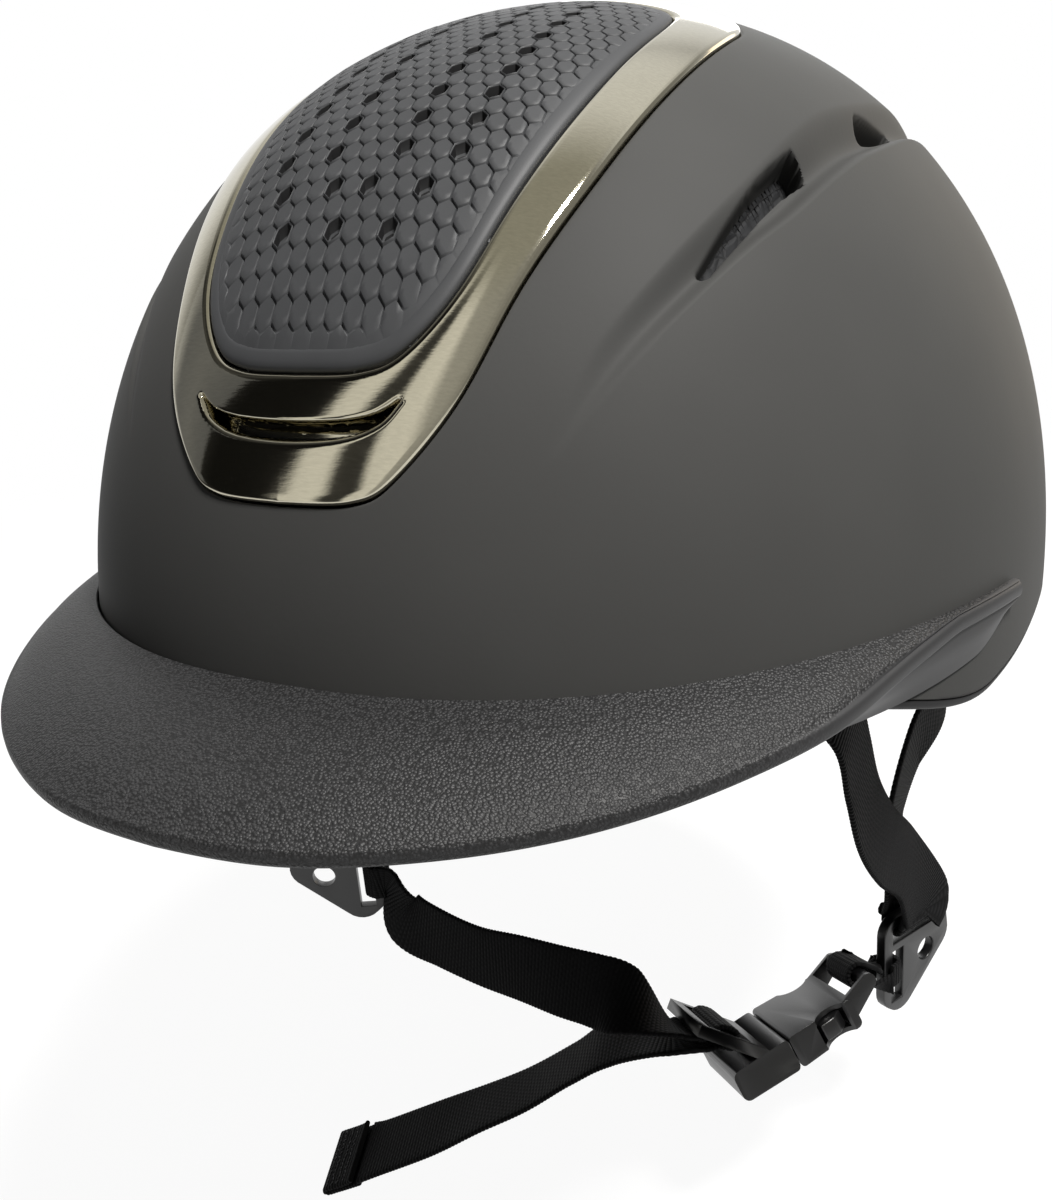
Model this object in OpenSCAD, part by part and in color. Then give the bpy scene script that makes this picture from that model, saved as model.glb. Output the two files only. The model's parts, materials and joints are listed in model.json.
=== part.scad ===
// Riding helmet with a metal trim frame, a vented honeycomb panel, a moulded
// visor, a dial fit harness and a side release chin buckle.
// Origin: centre of the head, level with the ear openings. +Z is up, the front
// points to -Y and the wearer's left is +X. Lengths in millimetres.

/* [Shell] */
// Half width of the shell at its widest line
shell_half_width = 110; // [104:1:116]
// From the head centre to the front of the shell
shell_front = 137; // [131:1:143]
// From the head centre to the back of the shell
shell_rear = 133; // [128:1:139]
// Height of the crown above the widest line
crown_height = 138; // [131:1:145]
// Height of the widest line above the ear openings
widest_height = 15; // [12:1:18]
// Wall of the outer shell
shell_wall = 3.4; // [3:0.1:4]
// Height of the bottom edge at the forehead
rim_front = 25; // [22:1:27]
// Height of the bottom edge above the ears
rim_ear = 8.5; // [6:0.5:11]
// Height of the bottom edge at the nape
rim_nape = -26; // [-32:1:-20]
// Deepest place of the side scoops
scoop_depth = 4.2; // [2:0.1:5]

/* [Trim and panel] */
// Depth of the recess that holds the trim and the panel
recess = 2; // [1.7:0.1:2.3]
// How far the trim stands out of the shell
trim_proud = 0.7; // [0.3:0.1:1.2]
// How far the middle of the panel stands out of the shell
panel_proud = 1.2; // [0.6:0.1:2]
// Gap between the trim, the panel and the shell
trim_gap = 0.35; // [0.3:0.05:0.5]
// Centre distance of the honeycomb cells
cell_pitch = 3.92; // [3.6:0.02:4.2]
// Width of one vent hole across its flats
vent_hole = 2.4; // [1.8:0.1:2.8]
// Rows of vent holes from front to back
vent_rows = 11; // [7:1:12]

/* [Liner and pads] */
// Thickness of the foam liner
liner_t = 21.5; // [19:0.5:24]
// Thickness of the comfort pads
pad_t = 5; // [4:0.5:6]
// Running and seating gap between parts
fit_gap = 0.3; // [0.3:0.05:0.4]

/* [Visor] */
// How far the visor stands out of the shell at the front
visor_reach = 34.2; // [28:0.1:40]
// Thickness of the rolled visor edge
visor_edge = 3.4; // [2.6:0.1:4.5]
// Height of the visor edge at the front
visor_height = 23.1; // [20:0.1:26]
// Angle from the front to the tip of a visor arm
visor_sweep = 75; // [70:1:78]

/* [Straps] */
// Width of the webbing
web_w = 20; // [18:0.5:21]
// Thickness of the webbing
web_t = 1.4; // [1.2:0.1:1.8]
// Length of the free strap end behind the ladder lock
tail_l = 118; // [95:1:125]

/* [Fit harness] */
// Thickness of a harness arm
arm_t = 2; // [1.8:0.1:2.2]
// Height of a harness arm
arm_h = 13; // [11:0.5:15]
// Depth of the harness dial below the ear openings
dial_drop = 46; // [44:1:50]
// Diameter of the fit dial
dial_d = 27; // [24:0.5:28]
// Teeth of the dial pinion
pinion_teeth = 10; // [10:1:11]
// Tooth size of the pinion and of the racks
tooth_module = 0.8; // [0.75:0.01:0.82]

/* [Buckle] */
// Width of the buckle
buckle_w = 27; // [26:0.5:29]
// Thickness of the buckle
buckle_t = 9; // [8.5:0.1:10]
// Length of the socket half
socket_l = 30; // [29:0.5:33]
// Length of the grip of the plug half
grip_l = 18; // [16:0.5:20]

/* [Hidden] */

// Shape of the shell: squareness of its plan, squareness of its side, depth of its skirt
plan_power = 2.3;
side_power = 2.13;
skirt_depth = 100;
rim_roll = 3;
mid = [0, 0, widest_height];
// The straps and the harness spread with the width of the shell
span = shell_half_width / 110;

// Layers counted inward from the skin of the shell
liner_top = -shell_wall - 2.3;
liner_low = liner_top - liner_t;
pad_top = liner_low - 3 * fit_gap;
pad_low = pad_top - pad_t;

function unit(v) = v / norm(v);
function mix(a, b, f) = a + (b - a) * f;
function clamp01(x) = min(1, max(0, x));
function ease(x) = let (c = clamp01(x)) c * c * (3 - 2 * c);

// Smooth curve through the points, with steps places between neighbours
function catmull(a, b, c, d, f) = 0.5 * (2 * b + (c - a) * f
  + (2 * a - 5 * b + 4 * c - d) * f * f + (3 * b - a - 3 * c + d) * f * f * f);
function curve(p, steps) = let (n = len(p)) [
  for (i = [0:n - 2], k = [0:steps - 1])
    catmull(p[max(0, i - 1)], p[i], p[i + 1], p[min(n - 1, i + 2)], k / steps),
  p[n - 1]];

// Skin of the shell: v is a direction from the middle, d is the offset outward
function gauge(v, d) = let (
  a = shell_half_width + d,
  b = (v.y < 0 ? shell_front : shell_rear) + d,
  h = (v.z > 0 ? crown_height : skirt_depth) + d,
  plan = pow(abs(v.x) / a, plan_power) + pow(abs(v.y) / b, plan_power))
  pow(pow(plan, side_power / plan_power) + pow(abs(v.z) / h, side_power), 1 / side_power);
function on_skin(v, d) = mid + v / gauge(v, d);

// Horizontal distance from the axis to the skin at height z and angle t from the front
function reach(t, z, d) = let (
  up = z - widest_height,
  h = (up > 0 ? crown_height : skirt_depth) + d,
  k = 1 - pow(abs(up) / h, side_power),
  a = shell_half_width + d,
  b = (cos(t) > 0 ? shell_front : shell_rear) + d)
  pow(pow(k, plan_power / side_power)
    / (pow(abs(sin(t)) / a, plan_power) + pow(abs(cos(t)) / b, plan_power)), 1 / plan_power);
function at_level(t, z, d) = let (r = reach(t, z, d)) [r * sin(t), -r * cos(t), z];

// Directions: round the head and up, or back over the crown and out to the side
function round_head(t, e) = [cos(e) * sin(t), -cos(e) * cos(t), sin(e)];
function over_crown(back, out) = [sin(out), -cos(out) * cos(back), cos(out) * sin(back)];

// Height of the bottom edge at angle t from the front
function rim_z(t) = let (a = abs(t))
  rim_front + (rim_ear - rim_front) * ease((a - 38) / 32)
    + (rim_nape - rim_ear) * ease((a - 95) / 70);

// Side scoops: their crest, their foot and how deep they are along their way
scoop_crest = [[27.5, 19.7], [35, 21], [44, 24.4], [52, 27], [60, 28.8], [73, 30.2], [92, 31.4], [125, 29]];
scoop_foot = [[27.5, 20.4], [34, 23.6], [42, 27.4], [50, 30.7], [59, 33.7], [74, 36.1], [90, 36.8], [125, 34]];
scoop_run = [[27.5, 0], [38, 0.25], [52, 0.8], [65, 1], [95, 0.95], [112, 0.6], [135, 0]];
function scoop(v) = let (
  back = atan2(v.z, -v.y),
  out = abs(asin(clamp01(abs(v.x)))),
  crest = lookup(back, scoop_crest),
  foot = lookup(back, scoop_foot),
  u = (out - crest) / (foot - crest),
  rise = u < 0.6 ? ease(u / 0.6) : ease((1 - u) / 0.4))
  (v.z <= 0 || back > 135) ? 0 : scoop_depth * lookup(back, scoop_run) * clamp01(rise);
function shell_point(v, d) = on_skin(v, d) - v * scoop(v);

// A closed solid through rings of points. Rows before turned.x and columns from turned.y
// on cut their cells the other way, so that the skins of two layers run side by side.
// Curved ends of a thin layer are closed by cells between its two faces
module skin(rings, closed = false, turned = [0, 1000], thin = false) {
  m = len(rings[0]);
  n = len(rings);
  last = closed ? n - 1 : n - 2;
  sides = [for (i = [0:last], j = [0:m - 1]) let (k = (i + 1) % n, l = (j + 1) % m)
    each i < turned.x || j >= turned.y ? [[i * m + j, k * m + j, i * m + l], [k * m + j, k * m + l, i * m + l]]
      : [[i * m + j, k * m + j, k * m + l], [i * m + j, k * m + l, i * m + l]]];
  end = (n - 1) * m;
  caps = closed ? []
    : thin ? [for (j = [0:m / 2 - 2]) let (k = m - 1 - j)
        each [[j, j + 1, k], [j + 1, k - 1, k], [end + j + 1, end + j, end + k], [end + k - 1, end + j + 1, end + k]]]
    : [[for (j = [0:m - 1]) j], [for (j = [m - 1:-1:0]) end + j]];
  polyhedron([for (r = rings) each r], concat(sides, caps), convexity = 6);
}

// A bowl over the head from the bottom edge to the crown, between two offsets.
// The rings lie closer together where the scoops are
around = 60;
fine_rings = [0, 0.09, 0.18, 0.26, 0.32, for (f = [0.365:0.0325:0.66]) f, 0.72, 0.8, 0.9, 1];
coarse_rings = [0, 0.1, 0.2, 0.29, 0.37, 0.44, 0.5, 0.56, 0.62, 0.7, 0.85, 1];
smooth_rings = [for (i = [0:8]) i / 8];
function bowl_ring(f, d, groove) = [
  for (j = [0:around - 1]) let (
    t = 360 * j / around,
    z = rim_z(t > 180 ? 360 - t : t) + rim_roll + fit_gap,
    low = atan2(z - widest_height, reach(t, z, 0)),
    v = round_head(t, mix(low, 89, f)))
    groove ? shell_point(v, d) : on_skin(v, d)];
module bowl(outer_rings, inner_rings, outer, inner, groove) {
  n = len(inner_rings) - 1;
  skin([
    for (i = [n:-1:0]) bowl_ring(inner_rings[i], inner, groove),
    for (f = outer_rings) bowl_ring(f, outer, true)], false, [n, 1000]);
}

// A patch of the skin: the outline shrinks to its centre, each row is [share, offset]
function middle(outline) = unit([for (i = [0:2]) [for (p = outline) p[i]] * [for (p = outline) 1]]);
module patch(outline, profile) {
  centre = middle(outline);
  skin([for (row = profile) [for (p = outline) shell_point(unit(mix(centre, p, row[0])), row[1])]]);
}
function flat_profile(low, high) = [[0.02, low], [0.35, low], [0.7, low], [1, low],
  [1, high], [0.7, high], [0.35, high], [0.02, high]];
function cushion_profile(low, high) = let (t = high - low) [[0.03, low], [0.5, low],
  [0.85, low + t * 0.12], [1, low + t * 0.5], [0.97, high], [0.5, high], [0.03, high]];

// Outline of a half shape in (back, out) angles, mirrored to the other side
function both_sides(half) = let (n = len(half)) concat(
  [for (p = half) over_crown(p[0], p[1])],
  [for (i = [n - 2:-1:1]) over_crown(half[i][0], -half[i][1])]);
trim_outer = curve([[22.5, 0], [22.9, 6], [24.8, 9.2], [31, 13.1], [40, 15.6], [52, 18.5],
  [66, 20.2], [79, 20.2], [87, 18.6], [91, 13.5], [91.5, 0]], 3);
trim_inner = curve([[32, 0], [32.3, 5.2], [34, 8.5], [39, 11.4], [47, 13.3], [58, 15.1],
  [68, 15.8], [76, 15.6], [80.5, 14.2], [82, 10], [82.5, 0]], 3);
trim_out = both_sides(trim_outer);
trim_in = both_sides(trim_inner);
function grown(outline, by) = let (
  centre = middle(outline))
  [for (p = outline) unit(mix(centre, p, 1 + by / shell_half_width / norm(p - centre)))];

// Vents: centre lines in (back, out) angles with their widths
smile_line = [[30.3, 8.9, 1], [28.9, 7.4, 2.6], [28, 4.6, 3.6], [27.7, 0, 4],
  [28, -4.6, 3.6], [28.9, -7.4, 2.6], [30.3, -8.9, 1]];
side_line = [[45.8, 27.7, 1.2], [52, 29, 3], [59, 30.3, 4.4], [65, 31.6, 5.4]];
rear_line = [[85, 33.4, 5], [91, 34.2, 5], [97, 34.6, 4]];
module slot_peg(p, deep, side) {
  v = over_crown(p[0], p[1] * side);
  hull() {
    translate(on_skin(v, deep)) sphere(d = p[2], $fn = 6);
    translate(on_skin(v, 12)) sphere(d = p[2], $fn = 6);
  }
}
module slot_cut(line, deep, side, spread = 0) {
  for (i = [0:len(line) - 2])
    hull() {
      slot_peg(line[i] + [0, 0, spread], deep, side);
      slot_peg(line[i + 1] + [0, 0, spread], deep, side);
    }
}
module vents(deep, spread = 0) {
  slot_cut(smile_line, deep, 1, spread);
  for (side = [-1, 1]) {
    slot_cut(side_line, deep, side, spread);
    slot_cut(rear_line, deep, side, spread);
  }
}

module outer_shell() {
  color("#3b3a39")
  difference() {
    bowl(fine_rings, coarse_rings, 0, -shell_wall, true);
    patch(grown(trim_out, trim_gap), [[0.02, -recess], [0.4, -recess], [0.72, -recess],
      [1, -recess], [1, 9], [0.02, 14]]);
    vents(-shell_wall - 8);
    for (y = [-72, -50, -28])
      hull()
        for (x = [-16, 16])
          translate([x, y, widest_height + crown_height / 2]) cylinder(d = 9, h = crown_height, $fn = 12);
  }
}

// Rolled lower edge that closes the gap between the shell and the liner
module rim_cover() {
  rows = [[-10, 0.9], [-10, rim_roll - 1.1], [0, rim_roll], [-0.5, 1.3], [-2.4, 0.1], [-8.5, 0]];
  color("#1f1f20")
  skin([for (j = [0:around - 1]) let (t = 360 / around * j, a = t > 180 ? 360 - t : t)
    [for (r = rows) at_level(t, rim_z(a) + r[1], r[0])]], true);
}

module trim_frame() {
  low = -recess + 0.45;
  edge = trim_proud - 0.5;
  rows = [[1, low], [1, edge], [0.93, trim_proud], [0.5, trim_proud + 0.35], [0.07, trim_proud],
    [0, edge], [0, low], [0.5, low]];
  color("#8d8a7c")
  difference() {
    skin([for (i = [0:len(trim_out) - 1])
      [for (r = rows) on_skin(unit(mix(trim_out[i], trim_in[i], r[0])), r[1])]], true);
    slot_cut(smile_line, -shell_wall - 3, 1);
    slot_cut([[29.6, 8.3, 1.6], [28.2, 5.6, 3.1], [28.2, -5.6, 3.1]], -shell_wall - 3, 1);
  }
}

// Columns of the vent holes, counted in cells from the middle
function hole_columns(row) = row == 0 ? [-3, 0, 3] : row == 1 ? [-4, -1, 1, 4] : [-5, -2, 2, 5];
first_hole_y = 34.2 - shell_front;
hole_row_pitch = 2 * cell_pitch * sin(60) + 0.2;
module panel_holes() {
  for (row = [0:vent_rows - 1], c = hole_columns(row))
    translate([c * cell_pitch, first_hole_y + row * hole_row_pitch, widest_height + 40])
      rotate(30) cylinder(d = vent_hole / sin(60), h = crown_height, $fn = 6);
}
module top_panel() {
  low = -recess + 0.45;
  color("#2f3032")
  difference() {
    patch(grown(trim_in, -trim_gap), [[0.02, low], [0.35, low], [0.7, low], [1, low],
      [1, 0.1], [0.97, 0.7], [0.8, panel_proud], [0.4, panel_proud], [0.02, panel_proud]]);
    panel_holes();
  }
}

// Fine nets behind the vents: pieces of a bowl between the columns and rings of the shell
module net(first, last, low_ring, high_ring) {
  sheet = [for (i = [low_ring:high_ring]) let (
    up = bowl_ring(coarse_rings[i], -shell_wall - 0.6, true),
    down = bowl_ring(coarse_rings[i], -shell_wall - 1.2, true))
    concat([for (j = [first:last]) up[j % around]], [for (j = [last:-1:first]) down[j % around]])];
  skin(sheet, false, [0, last - first + 1], true);
}
module side_net(side) {
  color("#17181a")
  for (place = [[5, 10, 4, 7], [12, 17, 6, 9]])
    net(side > 0 ? place[0] : around - place[1], side > 0 ? place[1] : around - place[0], place[2], place[3]);
}
module intake_mesh() {
  color("#17181a") net(around - 2, around + 2, 2, 4);
}

// Visor: its lower edge as [angle from the front, how far outside the shell, height]
visor_line = [[0, 34.15, 23.1], [8, 33, 23.2], [16, 28.9, 23.8], [24, 23.8, 24.6], [34, 16.6, 26.2],
  [41, 12.1, 27.4], [48, 6.9, 29], [54, 4.2, 30], [61, 3, 30.6], [73, 2.6, 29.6], [90, 2.6, 29]];
visor_out = [for (p = visor_line) [p[0], p[1] * visor_reach / 34.15]];
visor_low = [for (p = visor_line) [p[0], p[2] + visor_height - 23.1]];
function joint_z(t) = 19.8 + 23.2 * cos(t) - 5.8 * cos(2 * t);
function root_z(t) = let (a = abs(t)) rim_front + rim_roll - 6.6 * ease(a / 44) + 4 * ease((a - 64) / 11);
function visor_row(t) = let (
  low = root_z(t),
  top = joint_z(t),
  half = min(visor_edge / 2, (top - low) / 3),
  ez = min(lookup(abs(t), visor_low) + half, top - half - 0.4),
  hang = lookup(abs(t), visor_out),
  far = reach(t, ez, 0) + hang,
  seat = fit_gap + 0.1,
  in_top = reach(t, top, seat),
  in_low = reach(t, low, seat),
  rows = [[in_low, low], [reach(t, mix(low, top, 0.5), seat), mix(low, top, 0.5)], [in_top, top],
    [mix(in_top, far, 0.4), mix(top, ez + half, 0.4) + 0.05 * hang],
    [mix(in_top, far, 0.75), mix(top, ez + half, 0.75) + 0.035 * hang],
    [far - 0.5 * half, ez + half], [far, ez + 0.4 * half], [far, ez - 0.4 * half],
    [far - 0.5 * half, ez - half], [mix(far, in_low, 0.35), mix(ez - half, low, 0.35) + 0.04 * hang],
    [mix(far, in_low, 0.75), mix(ez - half, low, 0.75) + 0.04 * hang]])
  [for (r = rows) [r[0] * sin(t), -r[0] * cos(t), r[1]]];
module visor() {
  steps = 30;
  color("#29292b") skin([for (i = [0:steps]) visor_row(visor_sweep * (2 * i / steps - 1))]);
}

// Foam liner with air channels under the panel and behind the side slots
module foam_liner() {
  color("#141517")
  difference() {
    bowl(coarse_rings, smooth_rings, liner_top, liner_low, false);
    vents(liner_low - 10, 2);
    for (y = [-72, -50, -28], x = [-13, 0, 13])
      translate([x, y, widest_height + 40]) cylinder(d = 9, h = crown_height, $fn = 8);
    for (side = [-1, 1], i = [0, 1])
      at_anchor(side, i) translate([2.2, 0, -2]) cube([4, web_w + 3, 18], center = true);
    for (side = [-1, 1])
      translate([side * pin_x, pin_y, pin_z]) rotate([0, 90, 0]) cylinder(d = 4 + 2 * fit_gap, h = 26, center = true, $fn = 12);
  }
}

// Comfort pads, given by their corner angles round and up the head
module pad_row(t0, t1, e0, e1) {
  n = 6;
  rows = [[0, pad_top - pad_t * 0.45], [0.06, pad_low + 0.6], [0.3, pad_low], [0.7, pad_low],
    [0.94, pad_low + 0.6], [1, pad_low + pad_t * 0.55], [0.97, pad_top], [0.5, pad_top], [0.03, pad_top]];
  skin([for (i = [0:n * 2]) let (t = mix(t0, t1, i / n / 2), tip = pow(abs(i / n - 1), 8))
    [for (row = rows) let (f = mix(row[0], 0.5, tip * 0.5), d = mix(row[1], pad_top - pad_t / 2, tip * 0.5))
      on_skin(round_head(t, mix(e0, e1, f)), d)]]);
}
module brow_pad() {
  color("#222326") pad_row(-42, 42, 9, 27);
}
module side_pad(side) {
  color("#222326")
  pad_row(side > 0 ? 74 : -128, side > 0 ? 128 : -74, 22, 40);
}
module crown_pad() {
  half = curve([[52, 0], [55, 14], [68, 24], [90, 28], [112, 24], [125, 14], [128, 0]], 2);
  color("#222326") patch(both_sides(half), cushion_profile(pad_low, pad_top - fit_gap));
}

// Straps hang from anchors in the liner: [y, z, turn that follows the wall of the liner]
anchors = [[-56, 36, 18], [62, 24, -26]];
function reach_at_y(y, z, d) = let (
  up = z - widest_height,
  h = (up > 0 ? crown_height : skirt_depth) + d,
  k = pow(1 - pow(abs(up) / h, side_power), plan_power / side_power),
  b = (y < 0 ? shell_front : shell_rear) + d)
  (shell_half_width + d) * pow(k - pow(abs(y) / b, plan_power), 1 / plan_power);
function inside_wall(side, y, z) = [side * (reach_at_y(y, z, liner_low) - 2.8), y, z];
module at_anchor(side, i) {
  translate(inside_wall(side, anchors[i].x, anchors[i].y)) rotate([0, 0, -side * anchors[i].z])
    mirror([side > 0 ? 0 : 1, 0, 0]) children();
}

// A webbing strap along points. Each point has the direction of the strap's width,
// or of its outer face, and a shorter width direction makes the strap narrower
module strap(points, guides, steps = 3, width = web_w, t = web_t, by_face = false) {
  p = curve(points, steps);
  g = curve(guides, steps);
  n = len(p) - 1;
  skin([for (i = [0:n]) let (
    along = unit(p[min(n, i + 1)] - p[max(0, i - 1)]),
    out = by_face ? unit(g[i] - along * (g[i] * along)) : unit(cross(along, g[i])),
    side = cross(out, along) * width / 2 * (by_face ? 1 : norm(g[i])),
    thick = out * t / 2)
    [p[i] + side - thick, p[i] + side + thick, p[i] - side + thick, p[i] - side - thick]]);
}
// Dividers: a plate with a slot for the two hanging straps and a slot for the chin strap.
// Local frame of a divider: [outward, along the wide slot, up]
divider_at = [[82 * span, 22.5, -102.5], [-83.5 * span, -34.6, -81.6]];
divider_turn = [-25, 118];
plate_t = 3;
function in_divider(side, p) = let (i = side > 0 ? 0 : 1, a = divider_turn[i])
  divider_at[i] + [p.x * cos(a) - p.y * sin(a), p.x * sin(a) + p.y * cos(a), p.z];
function divider_face(side) = in_divider(side, [1, 0, 0]) - in_divider(side, [0, 0, 0]);
module divider(side) {
  corners = [[-11.5, 10.5, 5.2], [5.5, 10.5, 5.2], [6, 2, 6.2], [-8.6, -10.2, 6.4], [-10.6, -9, 6]];
  color("#161618")
  translate(divider_at[side > 0 ? 0 : 1]) rotate(divider_turn[side > 0 ? 0 : 1]) rotate([90, 0, 90])
    difference() {
      linear_extrude(plate_t, center = true)
        hull()
          for (c = corners) translate([c.x, c.y]) circle(c.z, $fn = 24);
      translate([-13, 7.2, -plate_t]) cube([web_w + 1.4, 5.2, 2 * plate_t]);
      translate([-13, -12.6, -plate_t]) cube([4.8, 17.4, 2 * plate_t]);
      translate([2, -1, -plate_t]) cylinder(d = 7, h = 2 * plate_t, $fn = 24);
    }
}
slot_mid = -2.3;
bar_clear = plate_t / 2 + web_t / 2 + 2 * fit_gap;

// One webbing runs down outside through the wide slot of the divider and up inside
front_way = [[[78.2, -44, 0], [79.4, -38.5, -15], [80.4, -32, -30], [81.4, -18, -46], [82.4, 2, -63]],
  [[-78.2, -47, 0], [-79.5, -45.5, -16], [-81, -43.5, -32], [-82.8, -41.5, -48]]];
rear_way = [[[75, 55, -20], [83, 40, -28], [80, 19, -37], [77.6, 9, -53], [77, 13, -71]],
  [[-75, 55, -20], [-79, 34, -31], [-80, 12, -42], [-82, -8, -53]]];
module front_strap(side) {
  way = [for (p = front_way[side > 0 ? 0 : 1]) [p.x * span, p.y, p.z]];
  face = divider_face(side);
  color("#101012")
  strap(concat([inside_wall(side, -56, 36), inside_wall(side, -53, 26), inside_wall(side, -50, 14)], way,
    [in_divider(side, [side * (bar_clear + 0.8), slot_mid, 18]), in_divider(side, [side * (bar_clear + 0.3), slot_mid, 13.2]),
    in_divider(side, [side * (0.7 + web_t), slot_mid, 10.8])]),
    concat([for (i = [0:2]) [0.951 * side, -0.309, 0]], [for (i = [0:len(way) - 1]) [side, 0, 0]], [face, face, face]),
    3, web_w, web_t, true);
}
module rear_strap(side) {
  way = [for (p = rear_way[side > 0 ? 0 : 1]) [p.x * span, p.y, p.z]];
  face = divider_face(side);
  color("#101012")
  strap(concat([inside_wall(side, 62, 24), inside_wall(side, 62, 10), inside_wall(side, 58, -9)], way,
    [in_divider(side, [-side * (bar_clear + 1.7), slot_mid, 18]), in_divider(side, [-side * (bar_clear + 0.3), slot_mid, 13.2]),
    in_divider(side, [-side * (0.7 + web_t), slot_mid, 10.8])]),
    concat([for (i = [0:2]) [0.899 * side, 0.438, 0]], [for (i = [0:len(way) - 1]) [side, i == 0 ? 0.3 : 0, 0]],
    [face, face, face]), 2, web_w, web_t, true);
}
module strap_anchors() {
  color("#1b1b1d")
  for (side = [-1, 1], i = [0, 1])
    at_anchor(side, i) translate([web_t / 2 + 1.4, 0, 1]) cube([1, web_w - 4, 8], center = true);
}

// The buckle has its own frame: a runs into the socket, w is its width, n its thickness
buckle_mouth = divider_at[0] + [-29, -41.5, -10.5];
buckle_a = unit([0.627, 0.718, 0.303]);
buckle_n = unit(cross(buckle_a, [0.62, -0.695, 0.364]));
buckle_side = cross(buckle_n, buckle_a);
module in_buckle() {
  multmatrix([for (i = [0:2]) [buckle_a[i], buckle_side[i], buckle_n[i], buckle_mouth[i]]]) children();
}
function buckle_point(a, w, n) = buckle_mouth + buckle_a * a + buckle_side * w + buckle_n * n;
buckle_wall = 1.8;
lip = socket_l - 10;
slot_w = web_w + 1.4;

// The end of the socket bends up behind the lip; this frame follows it
socket_bend = 25;
ear_l = 10.5;
end_bar_r = 2.2;
module bend_frame() {
  translate([lip - 2, 0, -0.6]) rotate([0, socket_bend, 0]) children();
}
function on_ear(p, q) = buckle_point(lip - 2 + p * cos(socket_bend) + q * sin(socket_bend), 0,
  -0.6 - p * sin(socket_bend) + q * cos(socket_bend));

// A bar across the buckle
module cross_bar(a, n, r, w) {
  translate([a, 0, n]) rotate([90, 0, 0]) cylinder(r = r, h = w, center = true, $fn = 20);
}
module buckle_socket() {
  inner_t = buckle_t - 2 * buckle_wall + 0.4;
  color("#1a1a1c")
  in_buckle() {
    bend_frame() cross_bar(ear_l, 0, end_bar_r - 0.1, slot_w + 1);
    difference() {
      union() {
        hull() {
          for (n = [-1, 1]) cross_bar(1.2, n * (buckle_t / 2 - 1.2), 1.2, buckle_w);
          for (n = [-1, 1]) cross_bar(lip - 1, n * (buckle_t / 2 - 2), 1.6, buckle_w - 2);
        }
        hull() {
          cross_bar(lip - 2.3, -0.6, 3.2, buckle_w - 3);
          bend_frame() cross_bar(ear_l, 0, end_bar_r, buckle_w - 3);
        }
      }
      translate([-1, -buckle_w / 2 + buckle_wall, -inner_t / 2])
        cube([lip - 1, buckle_w - 2 * buckle_wall, inner_t]);
      for (side = [-1, 1]) {
        translate([lip - 6.4, side * (buckle_w / 2 + 2.2), 0]) cylinder(r = 5.6, h = 2 * buckle_t, center = true, $fn = 24);
        translate([lip - 7, side * (buckle_w / 2), 0]) cube([9.2, 2 * buckle_wall + 0.2, inner_t], center = true);
      }
      bend_frame() translate([ear_l - 6.7, -slot_w / 2, -8]) cube([10, slot_w, 16]);
    }
  }
}

// Plug: grip, guide tongue and a ladder lock that curves up behind the grip
ladder_l = 22;
ladder_lean = 50;
ladder_foot = [-grip_l / 3, 0, -2.2];
module buckle_plug() {
  color("#1a1a1c")
  in_buckle()
    difference() {
      union() {
        hull() {
          for (n = [-1, 1]) cross_bar(-fit_gap - 1.4, n * (buckle_t / 2 - 1.4), 1.4, buckle_w);
          for (n = [-1, 1]) cross_bar(2 - grip_l, n * (buckle_t / 2 - 2.2), 2, buckle_w);
        }
        translate([-fit_gap - 1, -2.6, -1.5]) cube([lip - 3, 5.2, 3]);
        translate(ladder_foot) rotate([0, -ladder_lean, 0])
          translate([-ladder_l, -buckle_w / 2, -1.5])
            difference() {
              cube([ladder_l, buckle_w, 3]);
              translate([3, (buckle_w - slot_w) / 2, -1]) cube([5, slot_w, 5]);
              translate([11, (buckle_w - slot_w) / 2, -1]) cube([5, slot_w, 5]);
            }
      }
      for (side = [-1, 1])
        translate([-5, side * (prong_w - prong_in / 2) - prong_in / 2 - fit_gap, -prong_h / 2 - fit_gap])
          cube([5.5, prong_in + 2 * fit_gap, prong_h + 2 * fit_gap]);
    }
}

// Spring prongs with the catches that show in the side windows of the socket
prong_in = 3;
prong_h = buckle_t - 2 * buckle_wall - 0.6;
prong_w = buckle_w / 2 - buckle_wall - 0.7;
prong_root = -4.6;
module prong(side) {
  color("#202023")
  in_buckle()
    mirror([0, side > 0 ? 0 : 1, 0])
      linear_extrude(prong_h, center = true)
        polygon([[prong_root, prong_w - prong_in], [lip - 6, prong_w - prong_in - 0.6], [lip - 3.4, prong_w - 2.2],
          [lip - 3.2, prong_w - 0.6], [lip - 6, prong_w + 1.9], [lip - 10.4, prong_w + 2.3], [lip - 10.9, prong_w],
          [prong_root, prong_w]]);
}

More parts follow.
